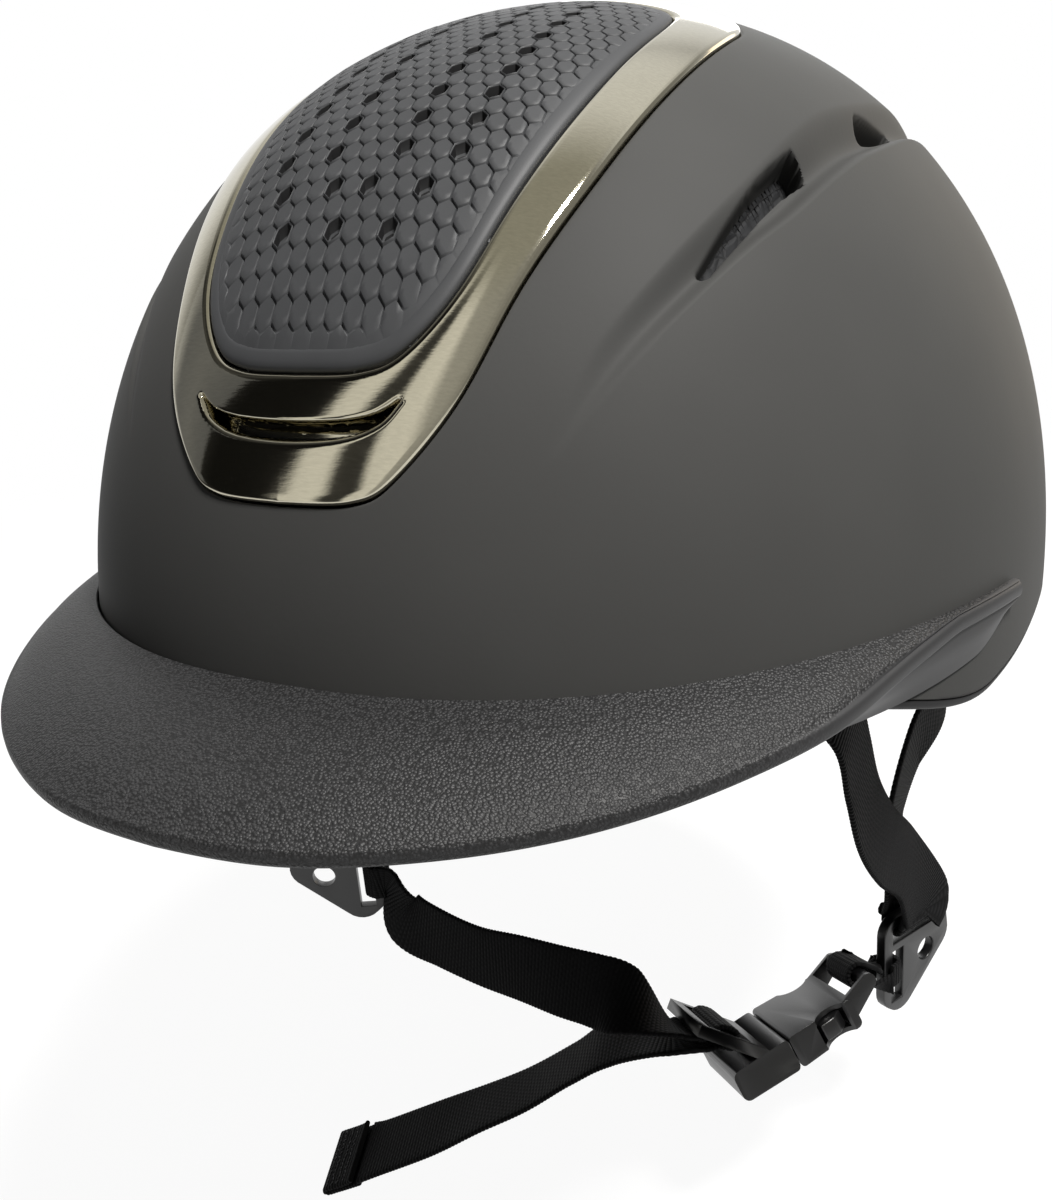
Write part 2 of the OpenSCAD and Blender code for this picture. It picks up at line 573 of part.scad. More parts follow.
// Webbing loop round the end bar of the socket and the chin slot of the left divider
chin_slot = [-14.6, -3.5];
function chin_bar(side, n, e) = in_divider(side, [n, chin_slot.x + e, chin_slot.y]);
function round_bar(a) = on_ear(ear_l + cos(a) * loop_r, sin(a) * loop_r);
loop_r = end_bar_r + web_t / 2 + 1.5 * fit_gap;
loop_way = 68;
function loop_bar(n, e) = in_divider(1, [n, chin_slot.x + e, chin_slot.y + 2]);
module buckle_loop() {
  up = [0, 0, 0.35];
  flat = buckle_side * 0.7;
  way = on_ear(cos(loop_way), sin(loop_way)) - on_ear(0, 0);
  color("#101012")
  strap([loop_bar(bar_clear, -0.6), loop_bar(bar_clear, 1.2), loop_bar(0.8 + web_t, 3.4), loop_bar(0, 3.9),
    loop_bar(-0.8 - web_t, 3.4), loop_bar(-bar_clear, 1.2), loop_bar(-bar_clear - 1.5, -2),
    round_bar(loop_way - 90) + way * 3,
    for (a = [-90, -130, -170, -210, -260]) round_bar(loop_way + a),
    round_bar(loop_way - 275) + way * 3, loop_bar(bar_clear + web_t + 1, -2.5)],
    concat([for (i = [0:6]) up], [for (i = [0:6]) flat], [up]), 1, web_w, web_t - 0.2);
}

// Chin strap from the right divider through the ladder lock, and its free end
ladder_dir = -buckle_a * cos(ladder_lean) - buckle_n * sin(ladder_lean);
ladder_up = buckle_a * sin(ladder_lean) - buckle_n * cos(ladder_lean);
ladder_at = buckle_point(ladder_foot.x, 0, ladder_foot.z);
function on_ladder(along, up) = ladder_at + ladder_dir * along + ladder_up * up;
strap_clear = 1.5 + web_t / 2 + fit_gap;
chin_way = [[-58.2, -33, -93.2], [-45, -35, -95.7], [-30.4, -36, -97.6], [-16, -37, -97.1],
  [-3, -38, -96.9], [7.6, -38.3, -96.7], [16.7, -38.3, -97.5]];
chin_face = [[-0.25, -0.18, -0.95], [-0.14, -0.07, -0.99], [-0.05, -0.07, -1], [0, -0.21, -0.98],
  [0.02, -0.37, -0.93], [0.05, -0.5, -0.87], [0.2, -0.8, -0.5]];
function chin_point(p) = p + [mix(divider_at[1].x + 83.5, divider_at[0].x - 82, (p.x + 83.5) / 100), 0, 0];
module chin_strap() {
  color("#101012")
  strap(concat([chin_bar(-1, bar_clear, -3), chin_bar(-1, bar_clear, 1.2), chin_bar(-1, 0, 4), chin_bar(-1, -bar_clear, 1.2),
    chin_bar(-1, -bar_clear - 1.5, -4)], [for (p = chin_way) chin_point(p)],
    [on_ladder(ladder_l + 1.5, -strap_clear - 1.2), on_ladder(ladder_l - 2, -strap_clear - 0.3), on_ladder(ladder_l - 3.8, -2.1),
    on_ladder(ladder_l - 5.5, 0), on_ladder(ladder_l - 7.1, 2.2), on_ladder(ladder_l - 9.5, strap_clear + 0.2),
    on_ladder(ladder_l - 11.9, 2.2), on_ladder(ladder_l - 12.7, 0.6)]),
    concat([for (i = [0:4]) [0, 0, -0.55]], [for (f = chin_face) unit(f)], [for (i = [0:7]) buckle_side]), 3);
}
tail_way = [[-9, 4, -2], [-19.7, -0.4, -9.3], [-31.5, -6.4, -17.4], [-43.3, -12.4, -23.4], [-56.7, -17.4, -31.1],
  [-73.8, -22.4, -40.7], [-79.2, -23.4, -43.8]];
tail_face = [[0.39, -0.92, 0.06], [0.35, -0.93, 0.13], [0.39, -0.91, 0.12], [0.37, -0.93, 0.06], [0.35, -0.93, -0.08],
  [0.31, -0.94, -0.13], [0.3, -0.93, -0.2]];
tail_share = tail_l / 118;
tail_from = buckle_mouth + [-29.9, -26.6, 5.5];
function tail_point(i) = tail_from + tail_way[i] * tail_share;
module tail_strap() {
  color("#101012")
  strap(concat([on_ladder(ladder_l - 12.6, -0.6), on_ladder(ladder_l - 11.8, -2.1), on_ladder(ladder_l - 9.5, -strap_clear),
    on_ladder(ladder_l - 5, -strap_clear - 2.3), on_ladder(ladder_l + 1, -strap_clear - 5)], [for (i = [0:6]) tail_point(i)]),
    concat([for (i = [0:4]) buckle_side], [for (f = tail_face) unit(f)]), 2);
}
module strap_end() {
  way = unit(tail_way[6] - tail_way[5]);
  color("#0d0d0f")
  strap([for (s = [0:2]) tail_point(6) + way * (2 * fit_gap + s * 6.5)], [for (s = [0:2]) unit(tail_face[6])], 1, web_w, web_t * 2.3);
}

// Fit harness: two arms swing on temple pins, their racks meet at the pinion
pin_x = shell_half_width + liner_low - 5.6;
pin_y = -12;
pin_z = 20;
nape_y = 97;
pitch_r = tooth_module * pinion_teeth / 2;
rack_t = 1.8;
rack_half = 15;
rack_back = 3.4;
tooth_pitch = PI * tooth_module;
tooth_slack = 0.36;
function rack_teeth() = [for (i = [-floor(rack_half / tooth_pitch):floor(rack_half / tooth_pitch)]) let (x = i * tooth_pitch)
  each [[x - tooth_pitch / 4 - 0.14, pitch_r + 0.75 * tooth_module], [x - tooth_pitch / 4 + 0.42, pitch_r - 0.75 * tooth_module],
    [x + tooth_pitch / 4 - 0.42, pitch_r - 0.75 * tooth_module], [x + tooth_pitch / 4 + 0.14, pitch_r + 0.75 * tooth_module]]];
rack_top = pitch_r + tooth_module + rack_back;
module rack() {
  translate([0, nape_y + rack_t / 2, -dial_drop]) rotate([90, 0, 0])
    linear_extrude(rack_t)
      polygon(concat([[-rack_half - 2, rack_top], [-rack_half - 2, pitch_r + 0.75 * tooth_module]], rack_teeth(),
        [[arm_join, pitch_r + 0.75 * tooth_module], [arm_join, rack_top]]));
}
arm_join = 27;
module harness_arm(side) {
  bar_z = -dial_drop + side * (rack_top + pitch_r + 0.75 * tooth_module) / 2;
  bar_h = (rack_top - pitch_r - 0.75 * tooth_module) / arm_h;
  path = [[pin_x, pin_y - 8, pin_z + 2], [pin_x, pin_y, pin_z], [pin_x, pin_y + 12, pin_z - 5], [pin_x - 3, 26, 5],
    [pin_x - 15, 50, -12], [52.5 * span, 74, -30], [43 * span, nape_y - 9, mix(-30, bar_z, 0.75)],
    [34, nape_y - 1, bar_z], [arm_join - 1, nape_y, bar_z]];
  tall = [0.8, 1, 1, 1, 1, 1, 0.9, bar_h, bar_h];
  color("#1d1e20")
  mirror([side > 0 ? 0 : 1, 0, 0])
    difference() {
      union() {
        strap(path, [for (f = tall) [0, 0, f]], 3, arm_h, arm_t);
        if (side > 0) rack();
        if (side < 0) translate([0, 0, -2 * dial_drop]) mirror([0, 0, 1]) rack();
      }
      translate([pin_x, pin_y, pin_z]) rotate([0, 90, 0]) cylinder(d = 4 + 2 * fit_gap, h = 10, center = true, $fn = 24);
    }
}
module temple_pins() {
  color("#2a2a2c")
  for (side = [-1, 1])
    translate([side * (pin_x - arm_t / 2 - 0.5 - fit_gap), pin_y, pin_z]) rotate([0, side * 90, 0]) {
      cylinder(d = 9, h = 1, center = true, $fn = 24);
      cylinder(d = 4, h = 14, $fn = 24);
    }
}

// Housing of the dial: a channel for the racks, closed on the head side
case_w = 42;
case_h = 2 * (rack_top + 0.7 + 4.4);
channel = rack_t + 2.8;
case_wall = 2;
screw_x = case_w / 2 - 4.5;
screw_z = case_h / 2 - 2.7;
module at_dial(y) {
  translate([0, nape_y + y, -dial_drop]) rotate([-90, 0, 0]) children();
}
module case_outline(h) {
  linear_extrude(h)
    union() {
      square([case_w, case_h - 10], center = true);
      square([case_w - 10, case_h], center = true);
      for (x = [-1, 1], z = [-1, 1]) translate([x * (case_w / 2 - 5), z * (case_h / 2 - 5)]) circle(5, $fn = 32);
    }
}
module dial_base() {
  color("#1c1c1e")
  difference() {
    at_dial(-channel / 2) case_outline(channel + case_wall);
    at_dial(-channel / 2 - 1)
      translate([-case_w, -rack_top - 0.7, 0]) cube([2 * case_w, 2 * rack_top + 1.4, channel + 1]);
    at_dial(0) cylinder(r = shaft_r + fit_gap, h = 20, $fn = 32);
    for (x = [-1, 1], z = [-1, 1])
      at_dial(-channel) translate([x * screw_x, z * screw_z, 0]) cylinder(d = 2.2 + fit_gap, h = channel + 1, $fn = 24);
  }
}
module dial_cover() {
  color("#1c1c1e")
  difference() {
    at_dial(-channel / 2 - case_wall) case_outline(case_wall);
    for (x = [-1, 1], z = [-1, 1])
      at_dial(-channel / 2 - case_wall - 1) translate([x * screw_x, z * screw_z, 0]) {
        cylinder(d = 2.2 + fit_gap, h = case_wall + 2, $fn = 24);
        cylinder(d = 4 + fit_gap, h = 2.2, $fn = 24);
      }
  }
}
module dial_screws() {
  color("#77787a")
  for (x = [-1, 1], z = [-1, 1])
    at_dial(-channel / 2 - case_wall) translate([x * screw_x, z * screw_z, 0.1]) {
      cylinder(d = 4, h = 0.95, $fn = 24);
      cylinder(d = 2.2, h = channel + case_wall - 1.4, $fn = 24);
    }
}
module nape_pad() {
  y = nape_y - channel / 2 - case_wall - fit_gap;
  outline = [for (i = [0:19]) let (c = cos(18 * i), s = -sin(18 * i))
    [(case_w / 2 + 3) * sign(c) * pow(abs(c), 0.5), (case_h / 2 + 1) * sign(s) * pow(abs(s), 0.5)]];
  color("#222326")
  skin([for (row = [[0.03, -pad_t], [0.5, -pad_t], [0.86, -pad_t + 0.6], [1, -pad_t * 0.55], [0.95, 0], [0.5, 0], [0.03, 0]])
    [for (q = outline) let (p = q * row[0]) [p.x, y + row[1], -dial_drop + p.y]]]);
}

// Dial, pinion and detent
shaft_r = pitch_r - tooth_module * 1.25;
dial_y = channel / 2 + case_wall + fit_gap;
dial_t = 8;
ratchet_r = dial_d / 2 - 3.2;
ratchet_n = 16;
module fit_dial() {
  color("#18181a")
  at_dial(dial_y)
    difference() {
      union() {
        cylinder(d = dial_d - 1.2, h = dial_t, $fn = 64);
        for (i = [0:19]) rotate(18 * i) translate([dial_d / 2 - 1.4, 0, 0]) cylinder(r = 1.3, h = dial_t - 1, $fn = 16);
      }
      translate([0, 0, -1]) cylinder(r = ratchet_r, h = 4, $fn = 48);
      for (i = [0:ratchet_n - 1])
        rotate(360 / ratchet_n * i) translate([ratchet_r - 0.2, 0, -1]) cylinder(r = 1, h = 4, $fn = 16);
      translate([0, 0, -1]) cylinder(r = shaft_r - 0.5, h = 6, $fn = 32);
    }
}
module pinion() {
  z = pinion_teeth;
  root = pitch_r - 1.25 * tooth_module + 0.1;
  tip = pitch_r + 0.7 * tooth_module;
  half = 90 / z - tooth_slack / pitch_r * 28;
  color("#c9c4b6")
  at_dial(0) {
    translate([0, 0, -rack_t / 2 - 0.9])
      linear_extrude(rack_t + 1.8)
        polygon([for (i = [0:z - 1], q = [[root, -half - 4], [pitch_r, -half], [tip, -half * 0.42],
          [tip, half * 0.42], [pitch_r, half], [root, half + 4]])
          let (a = 360 / z * i + 90 + q[1] + 180 / z) q[0] * [cos(a), sin(a)]]);
    cylinder(r = shaft_r, h = dial_y + 0.5, $fn = 32);
    cylinder(r = shaft_r - 0.5 - 0.01, h = dial_y + 4.9, $fn = 32);
  }
}
module detent_spring() {
  r = ratchet_r - 2.6;
  color("#9a9b9d")
  at_dial(channel / 2 + case_wall) {
    translate([0, 0, 0.3]) rotate_extrude(angle = 230, $fn = 48) translate([r, 0]) square([0.7, 1.8]);
    translate([r + 0.35, 0, 0]) cylinder(r = 1.1, h = 2.1, $fn = 24);
    rotate(230) translate([r + 0.35 + 0.8, 0, 0.3]) cylinder(r = 0.9, h = 1.8, $fn = 24);
  }
}

outer_shell();
rim_cover();
trim_frame();
top_panel();
intake_mesh();
side_net(1);  // vent_mesh_left
side_net(-1);  // vent_mesh_right
visor();
foam_liner();
brow_pad();
crown_pad();
side_pad(1);  // side_pad_left
side_pad(-1);  // side_pad_right
front_strap(1);  // front_strap_left
front_strap(-1);  // front_strap_right
rear_strap(1);  // rear_strap_left
rear_strap(-1);  // rear_strap_right
strap_anchors();
divider(1);  // divider_left
divider(-1);  // divider_right
chin_strap();
buckle_loop();
buckle_socket();
buckle_plug();
prong(1);  // prong_left
prong(-1);  // prong_right
tail_strap();
strap_end();
harness_arm(1);  // harness_arm_left
harness_arm(-1);  // harness_arm_right
temple_pins();
dial_base();
dial_cover();
dial_screws();
nape_pad();
fit_dial();
pinion();
detent_spring();
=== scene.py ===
"""Riding helmet: the dressed pieces, finishes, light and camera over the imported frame."""

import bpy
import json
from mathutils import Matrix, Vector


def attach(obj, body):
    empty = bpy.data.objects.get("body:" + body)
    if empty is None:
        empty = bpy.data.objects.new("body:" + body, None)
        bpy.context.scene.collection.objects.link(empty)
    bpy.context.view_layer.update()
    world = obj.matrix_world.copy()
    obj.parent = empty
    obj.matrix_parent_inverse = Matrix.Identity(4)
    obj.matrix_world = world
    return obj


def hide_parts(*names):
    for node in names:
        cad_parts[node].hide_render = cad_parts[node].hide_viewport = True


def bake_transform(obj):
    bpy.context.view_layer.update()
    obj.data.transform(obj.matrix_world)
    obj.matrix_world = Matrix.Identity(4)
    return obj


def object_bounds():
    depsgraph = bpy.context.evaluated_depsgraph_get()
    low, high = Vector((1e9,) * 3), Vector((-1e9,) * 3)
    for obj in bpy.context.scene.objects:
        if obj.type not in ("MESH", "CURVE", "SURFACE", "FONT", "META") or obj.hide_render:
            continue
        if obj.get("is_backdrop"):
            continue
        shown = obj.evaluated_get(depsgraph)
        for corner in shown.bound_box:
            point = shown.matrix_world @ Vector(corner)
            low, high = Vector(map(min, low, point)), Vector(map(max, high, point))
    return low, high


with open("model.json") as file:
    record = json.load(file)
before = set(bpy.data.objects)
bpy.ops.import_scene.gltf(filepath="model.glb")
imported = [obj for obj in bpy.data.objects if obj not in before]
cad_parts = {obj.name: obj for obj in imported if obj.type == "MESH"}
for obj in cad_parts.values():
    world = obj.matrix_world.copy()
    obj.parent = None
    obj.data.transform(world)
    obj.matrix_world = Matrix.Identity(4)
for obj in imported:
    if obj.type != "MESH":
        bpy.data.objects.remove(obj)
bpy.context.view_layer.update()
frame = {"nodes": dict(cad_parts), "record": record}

import json
from math import cos, pi, radians, sin

import bmesh
import bpy
import numpy as np
from bpy.props import FloatProperty, FloatVectorProperty, PointerProperty
from mathutils import Matrix, Vector

bl_info = {
    "name": "Riding Helmet",
    "version": (1, 0, 0),
    "blender": (4, 5, 0),
    "location": "3D View > Sidebar > Helmet",
    "description": "Builds the dressed riding helmet over its packed frame",
    "category": "Add Mesh",
}


def linear(code):
    """An sRGB hex colour as linear red, green and blue."""
    parts = [int(code[i:i + 2], 16) / 255 for i in (1, 3, 5)]
    return tuple(c / 12.92 if c <= 0.04045 else ((c + 0.055) / 1.055) ** 2.4 for c in parts)


# ---------------------------------------------------------------- settings

def colour(label, code, about):
    """A colour of the settings, from its sRGB hex value."""
    return FloatVectorProperty(name=label, description=about, subtype="COLOR", size=3,
                               min=0, max=1, default=linear(code))


def size(label, mm, about):
    """A size of the settings, in millimetres."""
    return FloatProperty(name=label, description=about, default=mm, min=0.01, unit="NONE")


class HELMET_PG_colours(bpy.types.PropertyGroup):
    """Colours of the helmet's finishes."""
    shell: colour("Shell", "#484847", "Soft matt coat of the shell")
    visor: colour("Visor", "#2d2d2e", "Grained cover of the visor")
    trim: colour("Trim", "#bdb8a6", "Bright metal of the trim frame")
    panel: colour("Panel", "#3e3f41", "Rubber of the honeycomb panel")
    liner: colour("Liner", "#1b1c1e", "Painted bead foam")
    pads: colour("Pads", "#232427", "Knitted cover of the comfort pads")
    webbing: colour("Webbing", "#0f0f10", "Woven straps")
    buckle: colour("Buckle", "#111112", "Moulded buckle and dividers")
    harness: colour("Harness", "#1e1f21", "Moulded parts of the dial fit")


class HELMET_PG_sizes(bpy.types.PropertyGroup):
    """Sizes of the finer details, in millimetres."""
    web_width: size("Webbing width", 20.0, "Width of the straps in mm")
    web_rib: size("Webbing rib", 1.1, "Distance between the cross ribs of the webbing in mm")
    cell: size("Cell pitch", 3.92, "Centre distance of the honeycomb cells in mm")
    groove: size("Groove depth", 0.75, "Depth of the grooves between the cells in mm")
    vent: size("Vent hole", 2.4, "Width of a vent hole across its flats in mm")
    grain: size("Leather grain", 0.55, "Size of one pebble of the visor grain in mm")
    bead: size("Foam bead", 3.6, "Size of one bead of the liner foam in mm")
    knit: size("Knit stitch", 1.3, "Width of one stitch of the pad cover in mm")


# ---------------------------------------------------------------- form of the shell

# The same values as the part's source, in millimetres and degrees
HALF_WIDTH, FRONT, REAR, CROWN, SKIRT = 110.0, 137.0, 133.0, 138.0, 100.0
MIDDLE = np.array([0.0, 0.0, 15.0])
PLAN, SIDE = 2.3, 2.13  # powers of the round outline from above and from the side
RIM_FRONT, RIM_SIDE, RIM_REAR = 25, 8.5, -26
WALL, ROLL, FIT, RECESS = 3.4, 3.0, 0.3, 2.0
SCOOP_DEPTH, SCOOP_END = 4.2, 135
LINER_TOP = -WALL - 2.3
LINER_LOW = LINER_TOP - 21.5
PAD_TOP = LINER_LOW - 0.9
PAD_THICK = 5.0
PANEL_PROUD, TRIM_GAP = 1.2, 0.35
# Depths under the skin of what the vents and the intake show, and the net's mesh
VENT_DEPTH, VENT_LIP, FOAM_FROM, INTAKE_DEPTH = 6.6, 0.18, 5.0, 5.2
VENT_NET, INTAKE_NET, NET_PITCH, STRAND = 5.9, 4.6, 1.5, 0.42
# Turns an angle at the middle of the shell into a length on its crown
CROWN_REACH = 133
# Millimetres of the crown's skin in a degree of the angles back and out
BACK_MM, OUT_MM = 2.3, 2.35


def unit(v):
    v = np.asarray(v, float)
    return v / np.linalg.norm(v, axis=-1, keepdims=True)


def ease(x):
    x = np.clip(x, 0, 1)
    return x * x * (3 - 2 * x)


def mix(a, b, f):
    return a + (b - a) * f


def curve(points, steps):
    """Smooth curve through the points, with steps places between neighbours."""
    p = np.asarray(points, float)
    n = len(p)
    f = np.arange(steps)[:, None] / steps
    rows = []
    for i in range(n - 1):
        a, b, c, d = p[max(0, i - 1)], p[i], p[i + 1], p[min(n - 1, i + 2)]
        rows.append(0.5 * (2 * b + (c - a) * f + (2 * a - 5 * b + 4 * c - d) * f ** 2
                           + (3 * b - a - 3 * c + d) * f ** 3))
    return np.vstack(rows + [p[-1:]])


def read_between(at, places, rows):
    """The rows of a table, each known at its own place, read at other places between them."""
    return np.stack([np.interp(at, places, column) for column in rows.T], -1)


def gauge(v, d=0.0):
    """How many skins moved outward by d the vectors v reach across; 1 lies on the skin."""
    a = HALF_WIDTH + d
    b = np.where(v[..., 1] < 0, FRONT, REAR) + d
    h = np.where(v[..., 2] > 0, CROWN, SKIRT) + d
    plan = (abs(v[..., 0]) / a) ** PLAN + (abs(v[..., 1]) / b) ** PLAN
    return (plan ** (SIDE / PLAN) + (abs(v[..., 2]) / h) ** SIDE) ** (1 / SIDE)


def on_skin(v, d=0.0):
    """Points of the shell's skin in the directions v, moved outward by d."""
    return MIDDLE + v / gauge(v, d)[..., None]


def reach(t, z, d=0.0):
    """Distance from the axis to the skin at height z and angle t in degrees from the front."""
    t = np.radians(t)
    up = z - MIDDLE[2]
    h = np.where(up > 0, CROWN, SKIRT) + d
    k = np.clip(1 - (abs(up) / h) ** SIDE, 0, 1)
    a = HALF_WIDTH + d
    b = np.where(np.cos(t) > 0, FRONT, REAR) + d
    return (k ** (PLAN / SIDE) / ((abs(np.sin(t)) / a) ** PLAN
                                  + (abs(np.cos(t)) / b) ** PLAN)) ** (1 / PLAN)


def at_level(t, z, d=0.0):
    """Points of the skin at the angles t and the heights z, moved outward by d."""
    r = reach(t, z, d)
    a = np.radians(t)
    return np.stack([r * np.sin(a), -r * np.cos(a), z + 0 * r], -1)


def rim_z(t):
    """Height of the shell's lower edge at the angles t."""
    a = abs((np.asarray(t, float) + 180) % 360 - 180)
    to_side, to_rear = ease((a - 38) / 32), ease((a - 95) / 70)
    return RIM_FRONT + (RIM_SIDE - RIM_FRONT) * to_side + (RIM_REAR - RIM_SIDE) * to_rear


def round_head(t, e):
    """Directions at the angles t round the head and e above the level."""
    t, e = np.radians(t), np.radians(e)
    return np.stack([np.cos(e) * np.sin(t), -np.cos(e) * np.cos(t), np.sin(e) + 0 * t], -1)


def over_crown(back, out):
    """Directions at the angles back, from the front over the crown, and out, to the left side."""
    b, o = np.radians(back), np.radians(out)
    return np.stack([np.sin(o) + 0 * b, -np.cos(o) * np.cos(b), np.cos(o) * np.sin(b)], -1)


# The scoops' upper and lower edges as (back, out) angles, and the share of their depth
CREST = curve([[27.5, 19.7], [35, 21], [44, 24.4], [52, 27], [60, 28.8], [73, 30.2],
               [92, 31.4], [125, 29]], 12)
FOOT = curve([[27.5, 20.4], [34, 23.6], [42, 27.4], [50, 30.7], [59, 33.7], [74, 36.1],
              [90, 36.8], [125, 34]], 12)
RUN = curve([[27.5, 0], [38, 0.25], [52, 0.8], [65, 1], [95, 0.95], [112, 0.6], [135, 0]], 12)


def scoop(v):
    """Depth of the side scoops in the directions v."""
    back = np.degrees(np.arctan2(v[..., 2], -v[..., 1]))
    out = np.degrees(np.arcsin(np.clip(abs(v[..., 0]), 0, 1)))
    crest, foot, run = (np.interp(back, *line.T) for line in (CREST, FOOT, RUN))
    u = (out - crest) / (foot - crest)
    rise = np.where(u < 0.6, ease(u / 0.6), ease((1 - u) / 0.4))
    deep = SCOOP_DEPTH * np.clip(run, 0, 1) * np.clip(rise, 0, 1)
    return np.where((v[..., 2] <= 0) | (back > SCOOP_END), 0, deep)


def shell_point(v, d=0.0):
    """Points of the shell's skin with its scoops, moved outward by d."""
    return on_skin(v, d) - v * scoop(v)[..., None]


def both_sides(half):
    """A closed outline of directions from half an outline in (back, out) angles."""
    c = curve(half, 20)
    right = c[-2:0:-1]
    return np.vstack([over_crown(c[:, 0], c[:, 1]), over_crown(right[:, 0], -right[:, 1])])


TRIM_OUT = both_sides([[22.5, 0], [22.9, 6], [24.8, 9.2], [31, 13.1], [40, 15.6], [52, 18.5],
                       [66, 20.2], [79, 20.2], [87, 18.6], [91, 13.5], [91.5, 0]])
TRIM_IN = both_sides([[32, 0], [32.3, 5.2], [34, 8.5], [39, 11.4], [47, 13.3], [58, 15.1],
                      [68, 15.8], [76, 15.6], [80.5, 14.2], [82, 10], [82.5, 0]])
# Slots as (back, out, width): the two angles of their centre line and the width in mm
SMILE = [[30.3, 8.9, 1], [28.9, 7.4, 2.6], [28, 4.6, 3.6], [27.7, 0, 4],
         [28, -4.6, 3.6], [28.9, -7.4, 2.6], [30.3, -8.9, 1]]
SIDE_VENT = [[45.8, 27.7, 2.4], [52, 29, 3.8], [59, 30.3, 4.8], [65, 31.6, 5.6]]
REAR_VENT = [[85, 33.4, 5], [91, 34.2, 5], [97, 34.6, 4]]


class Outline:
    """A closed outline on the skin, found again by the angle round its centre."""

    def __init__(self, directions, middle=None):
        self.c = unit(directions.sum(0) if middle is None else middle)
        self.e1 = unit(np.cross([1.0, 0, 0], self.c))
        self.e2 = np.cross(self.c, self.e1)
        turn = self.turn(directions)
        order = np.argsort(turn)
        t, p = turn[order], directions[order]
        self.t = np.concatenate([t[-3:] - 2 * pi, t, t[:3] + 2 * pi])
        self.p = np.vstack([p[-3:], p, p[:3]])

    def turn(self, v):
        """The angles of the directions v round the centre, in radians."""
        return np.arctan2(v @ self.e2, v @ self.e1)

    def at(self, turn):
        """The outline's directions at angles round the centre."""
        turn = (np.asarray(turn) + pi) % (2 * pi) - pi
        return unit(read_between(turn, self.t, self.p))

    def inside(self, v):
        """How far inside the outline the directions v lie, in mm along the skin."""
        edge = np.arccos(np.clip(self.at(self.turn(v)) @ self.c, -1, 1))
        here = np.arccos(np.clip(v @ self.c, -1, 1))
        return (edge - here) * CROWN_REACH


def grown(directions, by):
    """The outline enlarged all round by a length in mm."""
    centre = unit(directions.sum(0))
    far = np.linalg.norm(directions - centre, axis=1, keepdims=True)
    return unit(centre + (directions - centre) * (1 + by / HALF_WIDTH / far))


def slot_field(p, line, side=1, square=False):
    """Distance of the points p from the edge of a slot, negative inside it, and which side
    of its centre line they are on, positive towards the crown."""
    line = curve(line, 6)
    at = on_skin(over_crown(line[:, 0], line[:, 1] * side))
    half = line[:, 2] / 2
    best = np.full(len(p), 1e9)
    above = np.zeros(len(p))
    for i in range(len(at) - 1):
        ab = at[i + 1] - at[i]
        length = np.linalg.norm(ab)
        f = (p - at[i]) @ ab / length ** 2
        last = square and i == len(at) - 2
        g = np.clip(f, 0, None if last else 1)
        w = mix(half[i], half[i + 1], np.clip(f, 0, 1))
        off = p - at[i] - g[:, None] * ab
        d = np.linalg.norm(off, axis=1) - w
        if last:
            d = np.where(f > 1, np.maximum(d, (f - 1) * length), d)
        nearer = d < best
        best = np.where(nearer, d, best)
        above = np.where(nearer, off[:, 2], above)
    return best, above


# ---------------------------------------------------------------- meshes

def object_of(name, verts, faces, material, body, nodes=(), uv=None, sharp=None, layer=None):
    """An object from points in mm. uv holds one pair in mm for each corner of each face,
    layer named values for each point."""
    mesh = bpy.data.meshes.new(name)
    mesh.from_pydata((np.asarray(verts) / 1000).tolist(), [], faces)
    if uv is not None:
        store = mesh.uv_layers.new(name="mm")
        store.data.foreach_set("uv", np.asarray(uv, np.float32).ravel())
    if layer is not None:
        for key, values in layer.items():
            store = mesh.attributes.new(key, "FLOAT", "POINT")
            store.data.foreach_set("value", np.asarray(values, np.float32))
    return finished(name, mesh, material, body, nodes, sharp)


def finished(name, mesh, material, body, nodes, sharp=None):
    """The object of a mesh with its finish, riding on its body in place of its nodes."""
    mesh.validate()
    mesh.shade_smooth()
    if sharp:
        mesh.set_sharp_from_angle(angle=radians(sharp))
    obj = bpy.data.objects.new(name, mesh)
    bpy.context.scene.collection.objects.link(obj)
    mesh.materials.append(material)
    if body:
        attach(obj, body)
    if nodes:
        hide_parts(*nodes)
        slots = [m["slot"] for m in frame["record"]["materials"] if m["slot"] in material.name]
    return obj


def grid_faces(rows, cols, close_rows=False, close_cols=False, flip=False):
    """The four-sided faces between rows and columns of points."""
    r = np.arange(rows if close_rows else rows - 1)[:, None]
    c = np.arange(cols if close_cols else cols - 1)[None, :]
    a = r * cols + c
    b = ((r + 1) % rows) * cols + c
    d = r * cols + (c + 1) % cols
    e = ((r + 1) % rows) * cols + (c + 1) % cols
    return np.stack([a, b, e, d] if flip else [a, d, e, b], -1).reshape(-1, 4)


def grid_object(name, points, material, body, nodes=(), close_rows=False, close_cols=False,
                flip=False, uv=None, caps=False, sharp=None, layer=None):
    """An object from a grid of points in mm; uv gives (rows, cols) arrays of u and v in mm."""
    rows, cols = points.shape[:2]
    quads = grid_faces(rows, cols, close_rows, close_cols, flip)
    faces = quads.tolist()
    corner_uv = None
    if uv is not None:
        r, c = quads // cols, quads % cols
        corner_uv = np.stack([uv[0][r, c], uv[1][r, c]], -1).reshape(-1, 2)
    if caps:
        first = list(range(cols))
        final = [(rows - 1) * cols + i for i in range(cols)]
        faces += [first, final[::-1]] if flip else [first[::-1], final]
        if corner_uv is not None:
            corner_uv = np.vstack([corner_uv, np.zeros((2 * cols, 2))])
    if layer:
        layer = {k: np.asarray(a).ravel() for k, a in layer.items()}
    return object_of(name, points.reshape(-1, 3), faces, material, body, nodes, corner_uv,
                     sharp, layer)


